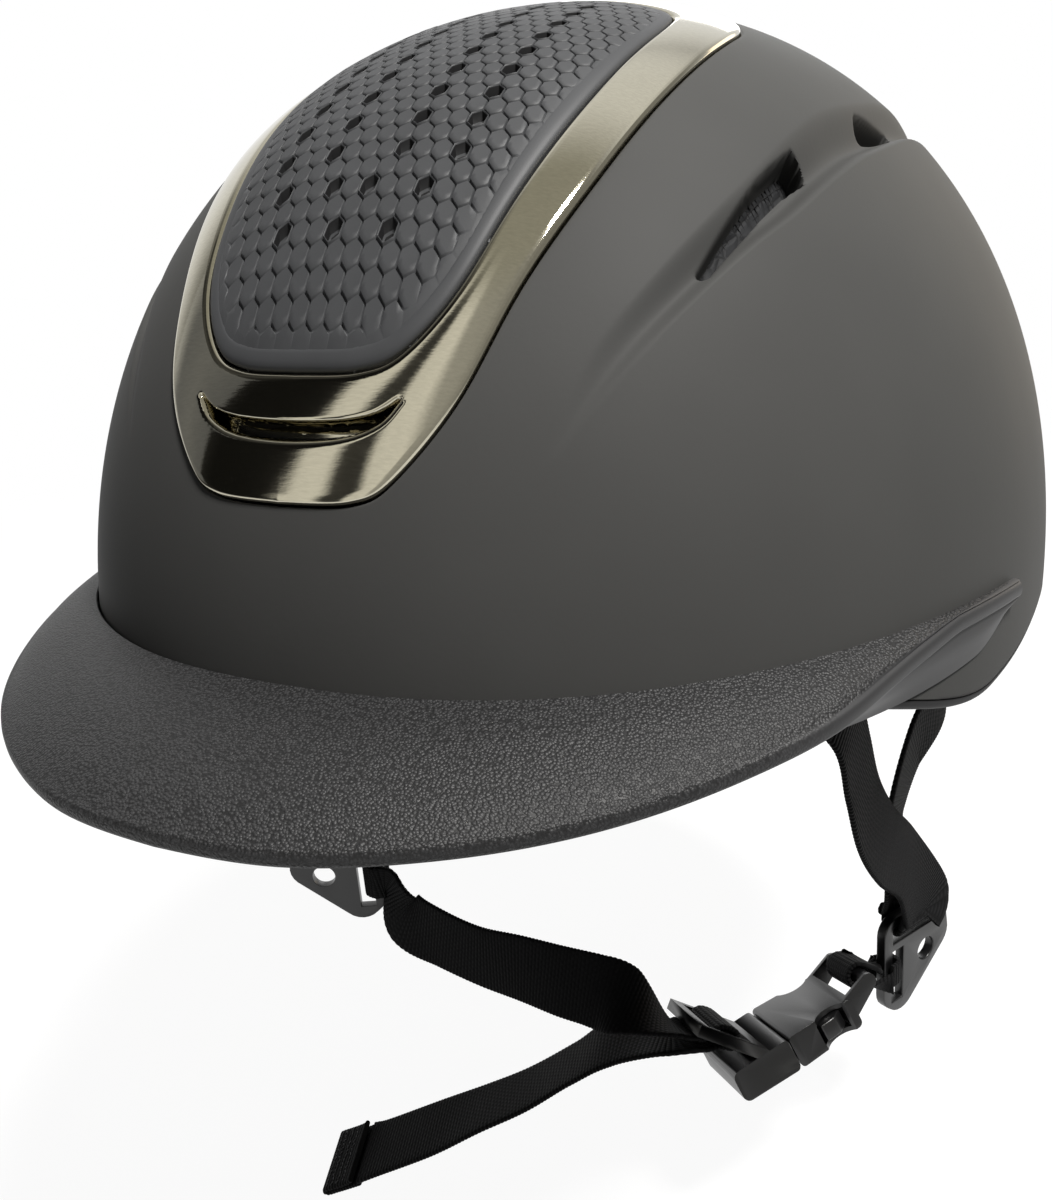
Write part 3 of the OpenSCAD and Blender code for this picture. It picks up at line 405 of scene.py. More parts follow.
def rounded(corners, radii, steps=4):
    """A polygon in two dimensions with its corners rounded by the radii."""
    p = np.asarray(corners, float)
    n = len(p)
    out = []
    for i in range(n):
        a, b, c = p[i - 1], p[i], p[(i + 1) % n]
        r = min(radii[i], 0.45 * np.linalg.norm(a - b), 0.45 * np.linalg.norm(c - b))
        if r <= 0:
            out.append(b)
            continue
        start, end = b + unit(a - b) * r, b + unit(c - b) * r
        for k in range(steps + 1):
            f = k / steps
            out.append((1 - f) ** 2 * start + 2 * f * (1 - f) * b + f ** 2 * end)
    return np.array(out)


def arc_length(p):
    """Length along the points up to each of them."""
    return np.concatenate([[0], np.cumsum(np.linalg.norm(np.diff(p, axis=0), axis=1))])


def bevelled(name, node, material, body, width=0.4, segments=3, angle=32):
    """The moulded part with its edges rounded as the mould leaves them."""
    source = frame["nodes"][node]
    mesh = source.data.copy()
    mesh.materials.clear()
    bm = bmesh.new()
    bm.from_mesh(mesh)
    bmesh.ops.remove_doubles(bm, verts=bm.verts, dist=2e-5)
    bmesh.ops.dissolve_limit(bm, angle_limit=radians(1.2), verts=bm.verts, edges=bm.edges)
    edges = [e for e in bm.edges
             if len(e.link_faces) == 2 and e.calc_face_angle() > radians(angle)]
    bmesh.ops.bevel(bm, geom=edges, offset=width / 1000, segments=segments, profile=0.5,
                    affect="EDGES", clamp_overlap=True)
    bm.to_mesh(mesh)
    bm.free()
    mesh.name = name
    return finished(name, mesh, material, body, (node,), sharp=38)


# ---------------------------------------------------------------- finishes

def add(tree, kind, values=None, links=None, **settings):
    """Adds a shader node: its settings, the values of its sockets and the links into them."""
    node = tree.nodes.new(kind)
    for key, value in settings.items():
        setattr(node, key, value)
    for key, value in (values or {}).items():
        node.inputs[key].default_value = value
    for key, source in (links or {}).items():
        socket = source if isinstance(source, bpy.types.NodeSocket) else source.outputs[0]
        tree.links.new(socket, node.inputs[key])
    return node


def finish_named(name, surface):
    """A new material with its principled surface ready; surface holds values of its sockets."""
    material = bpy.data.materials.new(name)
    material.use_nodes = True
    tree = material.node_tree
    tree.nodes.clear()
    shader = add(tree, "ShaderNodeBsdfPrincipled", values=surface)
    add(tree, "ShaderNodeOutputMaterial", links={"Surface": shader})
    return material, tree, shader


def shades(rgb, *factors):
    """The colour made darker or lighter by each of the factors."""
    return [tuple(min(1, c * f) for c in rgb) for f in factors]


def per(mm):
    """Scale of a pattern whose features are that many millimetres wide."""
    return 1000 / mm


def pattern(tree, shader, tint, tones, height, depth_mm, strength, span=(0.3, 0.7)):
    """Tints the surface between two tones after one grey pattern, and presses another into it,
    to a real depth in mm. span is where on the first pattern the two tones lie."""
    ramp = add(tree, "ShaderNodeValToRGB", links={"Fac": tint})
    for element, at, tone in zip(ramp.color_ramp.elements, span, tones):
        element.position, element.color = at, (*tone, 1)
    bump = add(tree, "ShaderNodeBump", links={"Height": height},
               values={"Strength": strength, "Distance": depth_mm / 1000})
    tree.links.new(ramp.outputs[0], shader.inputs["Base Color"])
    tree.links.new(bump.outputs[0], shader.inputs["Normal"])


def shell_coat(c):
    """Soft-touch matt coat sprayed on moulded ABS: broad soft highlight, a hint of orange peel."""
    m, t, s = finish_named("shell_coat matt sprayed ABS",
                           {"Roughness": 0.6, "Specular IOR Level": 0.1})
    where = add(t, "ShaderNodeTexCoord").outputs["Object"]
    cloud = add(t, "ShaderNodeTexNoise", values={"Scale": per(55.56), "Detail": 3},
                links={"Vector": where})
    peel = add(t, "ShaderNodeTexNoise", values={"Scale": per(1.1), "Detail": 2},
               links={"Vector": where})
    pattern(t, s, cloud, shades(c, 0.94, 1.06), peel, 0.03, 0.5)
    return m


def trim_metal(c):
    """Vacuum-metallised ABS, brushed from side to side: a warm mirror whose reflections fray
    along the strokes. Real strokes are under 0.1 mm wide and are drawn wider, to show."""
    m, t, s = finish_named("trim_metal brushed metallised ABS", {"Metallic": 1.0})
    where = add(t, "ShaderNodeTexCoord").outputs["Object"]
    strokes = add(t, "ShaderNodeMapping", values={"Scale": (per(2.6), per(0.42), per(0.42))},
                  links={"Vector": where})
    streak = add(t, "ShaderNodeTexNoise", values={"Scale": 1, "Detail": 3, "Roughness": 0.55},
                 links={"Vector": strokes})
    rough = add(t, "ShaderNodeMapRange", values={"To Min": 0.035, "To Max": 0.09},
                links={"Value": streak})
    t.links.new(rough.outputs[0], s.inputs["Roughness"])
    pattern(t, s, streak, shades(c, 0.94, 1.05), streak, 0.02, 0.36)
    return m


def panel_rubber(c):
    """Compression-moulded rubber: matt, finely grained and a little uneven in tone."""
    m, t, s = finish_named("panel_rubber matt moulded rubber",
                           {"Roughness": 0.56, "Specular IOR Level": 0.4})
    where = add(t, "ShaderNodeTexCoord").outputs["Object"]
    uneven = add(t, "ShaderNodeTexNoise", values={"Scale": per(16.67), "Detail": 3},
                 links={"Vector": where})
    fine = add(t, "ShaderNodeTexNoise", values={"Scale": per(0.35), "Detail": 1},
               links={"Vector": where})
    pattern(t, s, uneven, shades(c, 0.9, 1.1), fine, 0.02, 0.4)
    return m


def visor_leather(c, grain):
    """Embossed leather-grain polyurethane over a moulded core: pebbles with painted shade in their
    valleys.
    The visor's attribute grain is 1 where it is embossed and 0 where it is smooth."""
    m, t, s = finish_named("visor_leather embossed polyurethane",
                           {"Roughness": 0.5, "Specular IOR Level": 0.35})
    where = add(t, "ShaderNodeTexCoord").outputs["Object"]
    wobble = add(t, "ShaderNodeTexNoise", values={"Scale": per(2.2 * grain), "Detail": 2},
                 links={"Vector": where})
    # the pebbles are pushed out of line by up to 0.4 mm
    moved = add(t, "ShaderNodeMixRGB", values={"Fac": 0.0004}, blend_type="ADD",
                links={"Color1": where, "Color2": wobble.outputs["Color"]})
    pebble = add(t, "ShaderNodeTexVoronoi", values={"Scale": per(grain), "Randomness": 0.95},
                 links={"Vector": moved}, feature="F1")
    dome = add(t, "ShaderNodeMapRange", links={"Value": pebble},
               values={"From Min": 0.15, "From Max": 0.75, "To Min": 1, "To Max": 0})
    embossed = add(t, "ShaderNodeAttribute", attribute_name="grain").outputs["Fac"]
    height = add(t, "ShaderNodeMath", operation="MULTIPLY", links={0: dome, 1: embossed})
    # painted shade and highlight: where embossed, the colour follows each pebble's height, darker
    # in the valleys and lighter on the tops
    tint = add(t, "ShaderNodeMixRGB", values={"Color1": (0.75, 0.75, 0.75, 1)},
               links={"Fac": embossed, "Color2": dome})
    pattern(t, s, tint, shades(c, 0.45, 1.35), height, 0.16, 0.9, span=(0.15, 0.85))
    return m


def plastic(name, c, rough=0.4, grain_mm=0.5, depth_mm=0.015, level=0.5):
    """Moulded plastic with the spark-eroded texture of its mould, which breaks the shine.
    Real pits are under 0.1 mm wide and are drawn wider, so that they show."""
    m, t, s = finish_named(name, {"Roughness": rough, "Specular IOR Level": level})
    where = add(t, "ShaderNodeTexCoord").outputs["Object"]
    cloud = add(t, "ShaderNodeTexNoise", values={"Scale": per(11.11), "Detail": 2},
                links={"Vector": where})
    pits = add(t, "ShaderNodeTexNoise", values={"Scale": per(grain_mm), "Detail": 2},
               links={"Vector": where})
    pattern(t, s, cloud, shades(c, 0.9, 1.1), pits, depth_mm, 0.5)
    return m


def metal(name, code, rough):
    """Drawn or turned steel: fine scratches that break the shine."""
    m, t, s = finish_named(name, {"Metallic": 1.0, "Roughness": rough})
    where = add(t, "ShaderNodeTexCoord").outputs["Object"]
    scratch = add(t, "ShaderNodeTexNoise", values={"Scale": per(0.4), "Detail": 3},
                  links={"Vector": where})
    pattern(t, s, scratch, shades(linear(code), 0.85, 1.1), scratch, 0.01, 0.4)
    return m


def liner_foam(c, bead):
    """Painted expanded polystyrene: swollen beads pressed against each other."""
    m, t, s = finish_named("liner_foam painted bead foam",
                           {"Roughness": 0.72, "Specular IOR Level": 0.3})
    where = add(t, "ShaderNodeTexCoord").outputs["Object"]
    cell = add(t, "ShaderNodeTexVoronoi", values={"Scale": per(bead)}, links={"Vector": where},
               feature="DISTANCE_TO_EDGE")
    swell = add(t, "ShaderNodeMapRange", values={"From Max": 0.22}, links={"Value": cell})
    # painted shade: the colour darkens in the joints between the beads and lightens on their
    # swollen tops, after the same pattern as the bump
    pattern(t, s, swell, shades(c, 0.6, 1.15), swell, 0.25, 0.8, span=(0, 0.7))
    return m


def pad_fabric(c, knit):
    """Brushed warp-knit polyester over foam: small v-shaped stitches and a soft sheen."""
    m, t, s = finish_named("pad_fabric knitted polyester",
                           {"Roughness": 0.9, "Specular IOR Level": 0.2,
                            "Sheen Weight": 0.35, "Sheen Roughness": 0.5})
    uv = add(t, "ShaderNodeUVMap", uv_map="mm")
    part = add(t, "ShaderNodeSeparateXYZ", links={0: uv})
    across = add(t, "ShaderNodeMath", operation="MULTIPLY", values={1: pi / knit},
                 links={0: part.outputs["X"]})
    vee = add(t, "ShaderNodeMath", operation="SINE", links={0: across})
    bend = add(t, "ShaderNodeMath", operation="ABSOLUTE", links={0: vee})
    # the rows of stitches stand four fifths of a stitch apart and lean with the v
    row = add(t, "ShaderNodeMath", operation="MULTIPLY", values={1: 2 * pi / (knit * 0.8)},
              links={0: part.outputs["Y"]})
    lean = add(t, "ShaderNodeMath", operation="MULTIPLY_ADD", values={1: 2.2},
               links={0: bend, 2: row})
    wave = add(t, "ShaderNodeMath", operation="SINE", links={0: lean})
    loop = add(t, "ShaderNodeMath", operation="MULTIPLY_ADD", values={1: 0.3, 2: 0.35},
               links={0: wave})
    stitches = add(t, "ShaderNodeMath", operation="MULTIPLY_ADD", values={1: 0.35},
                   links={0: bend, 2: loop})
    # painted shade and highlight: the colour follows the stitches' height, darker between them and
    # lighter on their tops
    pattern(t, s, stitches, shades(c, 0.55, 1.25), stitches, 0.3, 0.8, span=(0.1, 0.9))
    return m


def webbing(c, rib):
    """Woven nylon webbing: cross ribs of the weft, split by warp threads every 0.8 mm."""
    m, t, s = finish_named("webbing woven nylon", {"Roughness": 0.75, "Specular IOR Level": 0.12})
    uv = add(t, "ShaderNodeUVMap", uv_map="mm")
    part = add(t, "ShaderNodeSeparateXYZ", links={0: uv})
    waves = []
    for axis, thread_mm in (("X", 0.8), ("Y", rib)):
        turn = add(t, "ShaderNodeMath", operation="MULTIPLY", values={1: pi / thread_mm},
                   links={0: part.outputs[axis]})
        waves.append(add(t, "ShaderNodeMath", operation="SINE", links={0: turn}))
    warp, weft = waves
    over = add(t, "ShaderNodeMath", operation="MULTIPLY", links={0: warp, 1: weft})
    ridge = add(t, "ShaderNodeMath", operation="ABSOLUTE", links={0: weft})
    height = add(t, "ShaderNodeMath", operation="MULTIPLY_ADD", values={1: 0.3},
                 links={0: over, 2: ridge})
    # painted shade and highlight: the colour follows the weave's height, darker between the ribs
    # and threads and lighter on their tops
    pattern(t, s, height, shades(c, 0.5, 1.5), height, 0.22, 0.75, span=(0.05, 1.0))
    return m


finishes = {}


def make_finishes(scene):
    c, z = scene.helmet_colours, scene.helmet_sizes
    finishes.update(
        shell=shell_coat(c.shell), trim=trim_metal(c.trim), panel=panel_rubber(c.panel),
        visor=visor_leather(c.visor, z.grain), liner=liner_foam(c.liner, z.bead),
        pads=pad_fabric(c.pads, z.knit), webbing=webbing(c.webbing, z.web_rib),
        # moulded polypropylene of the rolled edge, a little glossier than the coat
        edge=plastic("edge_plastic moulded polypropylene", linear("#1c1c1d"), 0.6, level=0.2),
        # nylon monofilament net
        net=plastic("net_plastic nylon net", linear("#1d1d1e"), 0.6, level=0.2),
        # acetal straight from the mould, a satin shine on rounded edges
        buckle=plastic("buckle_plastic moulded acetal", c.buckle, 0.34, 0.6, 0.02, 0.6),
        # nylon with a finely eroded surface
        harness=plastic("harness_plastic moulded nylon", c.harness, 0.5),
        # natural acetal, ivory and slightly waxy
        pinion=plastic("pinion_plastic natural acetal", linear("#cfc9ba"), 0.35),
        # black oxide steel
        screw=metal("screw_steel black oxide steel", "#56575a", 0.4),
        # cold rolled spring strip
        spring=metal("spring_steel rolled steel", "#a6a7aa", 0.25),
        thread=plastic("webbing bonded thread", linear("#3a3a3c"), 0.6))


# ---------------------------------------------------------------- shell and nets

def skin_grid(inner, outer, turns, rows):
    """Directions from the inner outline to the outer one, rows by turns."""
    p, q = inner.at(turns), outer.at(turns)
    angle = np.arccos(np.clip((p * q).sum(1), -1, 1))[None, :, None]
    f = np.asarray(rows)[:, None, None]
    return (np.sin((1 - f) * angle) * p + np.sin(f * angle) * q) / np.sin(angle)


def dense(spans):
    """Numbers from joined spans of (start, end, count)."""
    parts = [np.linspace(a, b, n, endpoint=False) for a, b, n in spans]
    return np.concatenate(parts + [[spans[-1][1]]])


def vent_depth(v):
    """How deep the vents of the shell reach under its skin in the directions v."""
    deep = np.zeros(v.shape[:-1])
    skin_points = on_skin(v)
    for side in (-1, 1):
        near = (v[..., 0] * side > 0.35) & (v[..., 0] * side < 0.68) & (v[..., 2] > 0.2)
        for line, square in ((SIDE_VENT, True), (REAR_VENT, False)):
            d = slot_field(skin_points[near], line, side, square)[0]
            wall = VENT_DEPTH * ease((0.1 - d) / 0.55) + VENT_LIP * ease((0.55 - d) / 0.6)
            deep[near] = np.maximum(deep[near], wall)
    return deep


def build_shell():
    trim = Outline(grown(TRIM_OUT, TRIM_GAP))
    t = np.arange(0, 360, 0.5)
    edge = Outline(unit(at_level(t, rim_z(t) + ROLL + FIT) - MIDDLE), trim.c)
    # the points stand closest where the vents lie and next to the trim
    turns = np.radians(dense([(-180, -150, 34), (-150, -60, 330), (-60, 60, 150),
                              (60, 150, 330), (150, 180, 34)]))[:-1]
    rows = dense([(0, 0.012, 6), (0.012, 0.06, 24), (0.06, 0.25, 130), (0.25, 1, 110)])
    v = skin_grid(trim, edge, turns, rows)
    deep = vent_depth(v)
    rounding = np.interp(rows, [0, 0.0015, 0.005, 0.012], [0.5, 0.16, 0.04, 0])
    points = shell_point(v) - v * (deep + rounding[:, None])[..., None]
    inner = [shell_point(v[0], -RECESS - 1.2), shell_point(v[0], -1.0)]
    low_z = points[-1][:, 2]
    angle = np.degrees(np.arctan2(points[-1][:, 0], -points[-1][:, 1]))
    # round the lower edge and up the inner face, as (drop, depth)
    outer = [at_level(angle, low_z - drop, -depth) for drop, depth in
             ((0.12, 0.12), (0.3, 0.5), (0.3, 2.6), (0.1, 3.1), (-5, WALL), (-14, WALL))]
    ends = [np.zeros((1, len(turns)))]
    deep = np.concatenate(ends * len(inner) + [deep] + ends * len(outer)).ravel()
    points = np.concatenate([np.array(inner), points, np.array(outer)])
    shell = grid_object("shell_skin", points, finishes["shell"], "helmet", ("outer_shell",),
                        close_cols=True, sharp=50)
    # the foam of the liner shows through the vents
    corners = np.zeros(len(shell.data.loops), dtype=np.int32)
    shell.data.loops.foreach_get("vertex_index", corners)
    foam = deep[corners].reshape(-1, 4).min(1) > FOAM_FROM
    shell.data.materials.append(finishes["liner"])
    shell.data.polygons.foreach_set("material_index", foam.astype(np.int32))


def net_patch(line, side, deep):
    """Places of a lattice behind a slot, deep under the skin."""
    path = curve(line, 12)
    s = arc_length(on_skin(over_crown(path[:, 0], path[:, 1] * side)))
    where = np.linspace(-1.5, s[-1] + 1.0, int(s[-1] / NET_PITCH) + 3)
    past = np.where(where < 0, where, np.where(where > s[-1], where - s[-1], 0))
    back, out, wide = read_between(where, s, path).T
    back, reach_out = back + past / BACK_MM, wide / 2 + 1.4
    across = np.linspace(-1, 1, 2 * int(5 / NET_PITCH) + 1)
    o = out[:, None] + across[None, :] * reach_out[:, None] / OUT_MM
    return shell_point(over_crown(back[:, None] + 0 * o, o * side), -deep)


def build_net(name, patches, node):
    """A net of strands along the lattice of each patch."""
    verts, faces = [], []
    for patch in patches:
        start = len(verts)
        verts += patch.reshape(-1, 3).tolist()
        faces += (grid_faces(*patch.shape[:2]) + start).tolist()
    net = object_of(name, verts, faces, finishes["net"], "helmet", (node,))
    wire = net.modifiers.new("strands", "WIREFRAME")
    wire.thickness = STRAND / 1000
    wire.use_replace = True
    wire.use_even_offset = False


def build_nets():
    build_net("intake_net", [net_patch(SMILE, 1, INTAKE_NET)], "intake_mesh")
    for side, name in ((1, "left"), (-1, "right")):
        patches = [net_patch(line, side, VENT_NET) for line in (SIDE_VENT, REAR_VENT)]
        build_net(f"vent_net_{name}", patches, f"vent_mesh_{name}")


def build_rim_cover():
    t = np.arange(0, 360, 1.0)
    # section as (depth, height), the rolled lip outside and the flange under the liner
    shape = rounded([[-10, 0.9], [-10, ROLL - 1.1], [0, ROLL], [-0.5, 1.3], [-2.4, 0.1],
                     [-8.5, 0]], [0, 0.3, 0.5, 1.2, 1.6, 0.8], 5)
    points = np.stack([at_level(t, rim_z(t) + dz, d) for d, dz in shape], 1)
    grid_object("rim_cover_roll", points, finishes["edge"], "helmet", ("rim_cover",), True, True)


# ---------------------------------------------------------------- trim and panel

def build_trim():
    outer = Outline(TRIM_OUT)
    inner = Outline(TRIM_IN, outer.c)
    turns = np.radians(dense([(-180, -36, 320), (-36, 36, 300), (36, 180, 320)]))[:-1]
    across = dense([(0, 0.06, 8), (0.06, 0.94, 84), (0.94, 1, 8)])
    p, q = outer.at(turns), inner.at(turns)
    v = unit(p[None] + (q - p)[None] * across[:, None, None])
    width = np.linalg.norm(on_skin(p) - on_skin(q), axis=1)[None, :]
    from_edge = np.minimum(across, 1 - across)[:, None] * width
    rise = np.interp(from_edge, [0, 0.12, 0.5, 1.0, 1.6], [0.12, 0.3, 0.62, 0.75, 0.8])
    crown = 0.27 * (1 - (2 * across[:, None] - 1) ** 2)
    # the intake: a soft lower lip and a crisp upper one, then its walls down to the net
    slot = [[back, out, wide + 0.5] for back, out, wide in SMILE]
    field, above = slot_field(on_skin(v).reshape(-1, 3), slot)
    field, above = field.reshape(rise.shape), above.reshape(rise.shape)
    lip = np.where(above < 0, 1.5, 0.45)
    soft = np.clip((lip * 0.5 - field) / lip, 0, 1)
    rolled = np.where(above < 0, 0.9, 0.35) * (1 - np.sqrt(np.clip(1 - soft ** 2, 0, 1)))
    d = rise + crown - rolled - INTAKE_DEPTH * ease((-0.55 * lip - field) / 0.8)
    foot = np.full(len(p), -1.55)
    points = np.concatenate([on_skin(v[0], foot)[None], on_skin(v, d),
                             on_skin(v[-1], foot)[None]])
    grid_object("trim_frame_brushed", points, finishes["trim"], "helmet", ("trim_frame",),
                False, True, sharp=60)


# Rings of a closed cell of the honeycomb, from its edge inward: share of the flat's distance,
# drop under the cell's top in groove depths, and rounding of the corners
CLOSED_CELL = ((1.0, 1.0, 0.0), (0.955, 0.98, 0.01), (0.925, 0.55, 0.02), (0.905, 0.14, 0.03),
               (0.87, 0.0, 0.04), (0.45, 0.03, 0.06))
# The same for a cell with a sunken step, in which the vent hole lies
OPEN_CELL = ((1.0, 1.0, 0.0), (0.96, 0.98, 0.01), (0.935, 0.5, 0.02), (0.92, 0.0, 0.02),
             (0.89, -0.1, 0.03), (0.86, -0.05, 0.03), (0.84, 0.2, 0.03), (0.83, 2.0, 0.03))
# Bands of a vent cell whose faces are painted with the net's darker finish, as painted shade
STEP_WALL, HOLE_WALL = 6, 8
RING = 12  # points of a ring: the corners and the middles of the flats
HOLE_ROWS = 11
# Rows and columns that hold the cells; those past the outline stay empty
CELL_ROWS, CELL_COLUMNS = range(-6, 40), range(-12, 13)
# Where the first row of holes and the last row of cells lie, and how much wider the rows
# stand than in an even honeycomb
FIRST_ROW, LAST_ROW, ROW_SLACK = 34.2 - FRONT, 40, 0.1
# The cells reach this far past the outline; the smooth margin covers their first part
CELLS_PAST, CELLS_COVERED = 3.6, 2.2
# Width of the margin at the front and elsewhere, where the front ends, and over how much
# the grooves run out
FRONT_MARGIN, MARGIN, FRONT_END, MARGIN_FADE = 4.6, 3.0, 40 - FRONT, 2.0
# The margin from its outer wall to where it lies under the cells, as (inside, height)
MARGIN_SHAPE = ((0, -1.5), (0, 0.0), (0.06, 0.25), (0.25, 0.52), (0.7, 0.8), (1.6, 0.98),
                (2.4, 1.0), (3.0, 0.995), (3.5, 0.95), (4.0, 0.75), (4.6, 0.3), (9.0, 0.1))


def panel_height(x, y, d):
    """Height of the skin over the plan place (x, y), moved outward by d."""
    b = np.where(y < 0, FRONT, REAR) + d
    plan = (abs(x) / (HALF_WIDTH + d)) ** PLAN + (abs(y) / b) ** PLAN
    return MIDDLE[2] + (CROWN + d) * np.clip(1 - plan ** (SIDE / PLAN), 0, 1) ** (1 / SIDE)


def panel_rise(inside):
    """Height of the cells' tops over the skin, by the distance inside the panel's outline."""
    return np.interp(inside, [-1, 0, 0.25, 0.7, 1.6, 6, 20],
                     [-1.5, 0.05, 0.5, 0.78, 0.98, PANEL_PROUD, PANEL_PROUD])


def hole_columns(row):
    """The columns of the vent holes in a row of holes, counted from the front."""
    return {0: [-3, 0, 3], 1: [-4, -1, 1, 4]}.get(row, [-5, -2, 2, 5])


def build_panel(sizes):
    outline = Outline(grown(TRIM_IN, -TRIM_GAP))
    pitch, share = sizes.cell, sizes.vent / sizes.cell
    row_pitch = pitch * sin(radians(60)) + ROW_SLACK
    corner = pitch / 2 / cos(radians(30))
    stretch = row_pitch / (1.5 * corner)
    angles = np.radians(np.arange(RING) * 30 + 30)
    hexagon = np.array([1 / cos(a % (pi / 3) - pi / 6) for a in angles])
    open_cell = OPEN_CELL + ((share - 0.02, 2.1, 0.02), (share - 0.03, 28.0, 0.02))
    holes = {(2 * r, c) for r in range(HOLE_ROWS) for c in hole_columns(r)}
    verts, faces, net_and_painted_shade = [], [], []
    for row in CELL_ROWS:
        y = FIRST_ROW + row * row_pitch
        for col in CELL_COLUMNS:
            x = (col + (0.5 if row % 2 else 0)) * pitch
            z = panel_height(np.array(x), np.array(y), 0.0)
            v = unit(np.array([x, y, float(z)]) - MIDDLE)
            if outline.inside(v[None])[0] < -CELLS_PAST or y > LAST_ROW:
                continue
            vent = (row, col) in holes
            rings = open_cell if vent else CLOSED_CELL
            start = len(verts)
            for ring, drop, soft in rings:
                r = pitch / 2 * ring * (1 + (hexagon - 1) * (1 - soft * 2.2))
                verts += zip(x + r * np.sin(angles), y + r * np.cos(angles) * stretch,
                             [drop] * RING)
            for k in range(len(rings) - 1):
                for j in range(RING):
                    a, b = start + k * RING + j, start + k * RING + (j + 1) % RING
                    faces.append((a, a + RING, b + RING, b))
                    net_and_painted_shade.append(vent and k in (STEP_WALL, HOLE_WALL))
            faces.append(list(range(len(verts) - RING, len(verts)))[::-1])
            net_and_painted_shade.append(vent)
    x, y, drop = np.array(verts).T
    inside = outline.inside(unit(np.stack([x, y, panel_height(x, y, 0.0)], 1) - MIDDLE))
    # the grooves run out into the smooth margin, and the cells dip under it
    margin = np.where(y < FRONT_END, FRONT_MARGIN, MARGIN)
    fade = np.where(drop > 1.5, 1, ease((inside - margin) / MARGIN_FADE))
    under = 0.14 * ease((3.4 - inside) / 0.8)
    z = panel_height(x, y, panel_rise(inside) - drop * sizes.groove * fade - under)
    keep = [k for k, face in enumerate(faces) if inside[list(face)].max() > CELLS_COVERED]
    faces, net_and_painted_shade = [faces[k] for k in keep], [net_and_painted_shade[k] for k in keep]
    cells = object_of("panel_cells", np.stack([x, y, z], 1), faces, finishes["panel"], "helmet",
                      ("top_panel",), sharp=50)
    # painted shade: the walls of the step and of the hole take the net's darker finish, and the
    # hole's floor shows the net below
    cells.data.materials.append(finishes["net"])
    cells.data.polygons.foreach_set("material_index", np.array(net_and_painted_shade, dtype=np.int32))

    at = outline.at(np.radians(np.arange(-180, 180, 0.5)))
    span = np.arccos(np.clip(at @ outline.c, -1, 1)) * CROWN_REACH
    rows = [on_skin(unit(mix(at, outline.c, (by / span)[:, None])), np.full(len(at), d))
            for by, d in MARGIN_SHAPE]
    grid_object("panel_margin", np.array(rows), finishes["panel"], "helmet", ("top_panel",),
                False, True, sharp=70)


# ---------------------------------------------------------------- visor

# The visor's outer edge: angle from the front, reach past the shell and height
VISOR_EDGE = curve([[0, 34.15, 23.1], [8, 33, 23.2], [16, 28.9, 23.8], [24, 23.8, 24.6],
                    [34, 16.6, 26.2], [41, 12.1, 27.4], [48, 6.9, 29], [54, 4.2, 30],
                    [61, 3, 30.6], [73, 2.6, 29.6], [90, 2.6, 29]], 10)


def visor_row(t):
    """The visor's section at the angle t as points of (distance, height), and each point's
    share of grain."""
    a = abs(t)
    low = RIM_FRONT + ROLL - 6.6 * ease(a / 44) + 4 * ease((a - 64) / 11)
    top = 19.8 + 23.2 * cos(radians(t)) - 5.8 * cos(radians(2 * t))
    half = min(1.7, (top - low) / 3)
    hang, edge_z = read_between(a, VISOR_EDGE[:, 0], VISOR_EDGE[:, 1:])
    ez = min(edge_z + half, top - half - 0.4)
    far = float(reach(t, ez)) + hang

    def wall(z):
        return float(reach(t, z, FIT + 0.1))

    def between(start, end, f, bulge):
        return [mix(start[0], end[0], f), mix(start[1], end[1], f) + bulge * hang]

    root_top, root_low = (wall(top), top), (wall(low), low)
    edge_top, edge_low = (far, ez + half), (far, ez - half)
    upper = curve([[root_top[0] + 0.25, top + 0.02], between(root_top, edge_top, 0.4, 0.05),
                   between(root_top, edge_top, 0.75, 0.035), [far - 0.62 * half, ez + half]], 9)
    lip = [[far - x * half, ez + z * half]
           for x, z in ((0.3, 0.9), (0.08, 0.6), (0, 0.1), (0.03, -0.5), (0.2, -0.85))]
    lower = curve([[far - 0.5 * half, ez - half], between(edge_low, root_low, 0.35, 0.04),
                   between(edge_low, root_low, 0.75, 0.04), root_low], 6)
    back = [[wall(z), z] for z in (mix(low, top, f) for f in (0.25, 0.5, 0.75))]
    back.append([root_top[0], top - 0.2])
    # the grain ends on the arms, where a smooth strip widens towards their tips
    strip = np.clip((a - 40) / 30, 0, 1) * 0.75
    upward = np.linspace(0, 1, len(upper))
    above = ease((1 - strip - upward) / 0.06 + 1) if strip > 0 else np.ones(len(upper))
    below = np.full(len(lip) + len(lower) + len(back), 1 - ease((a - 30) / 14))
    grain = np.concatenate([above, below]) * (1 - ease((a - 70.5) / 3.5))
    return np.vstack([upper, lip, lower, back]), grain


def build_visor():
    angles = np.linspace(-75, 75, 361)
    rows, grain = zip(*[visor_row(t) for t in angles])
    r, z = np.moveaxis(np.array(rows), -1, 0)
    t = np.radians(angles)[:, None]
    points = np.stack([r * np.sin(t), -r * np.cos(t), z], -1)
    grid_object("visor_cover", points, finishes["visor"], "helmet", ("visor",), False, True,
                caps=True, flip=True, sharp=45, layer={"grain": np.array(grain)})


# ---------------------------------------------------------------- liner and pads

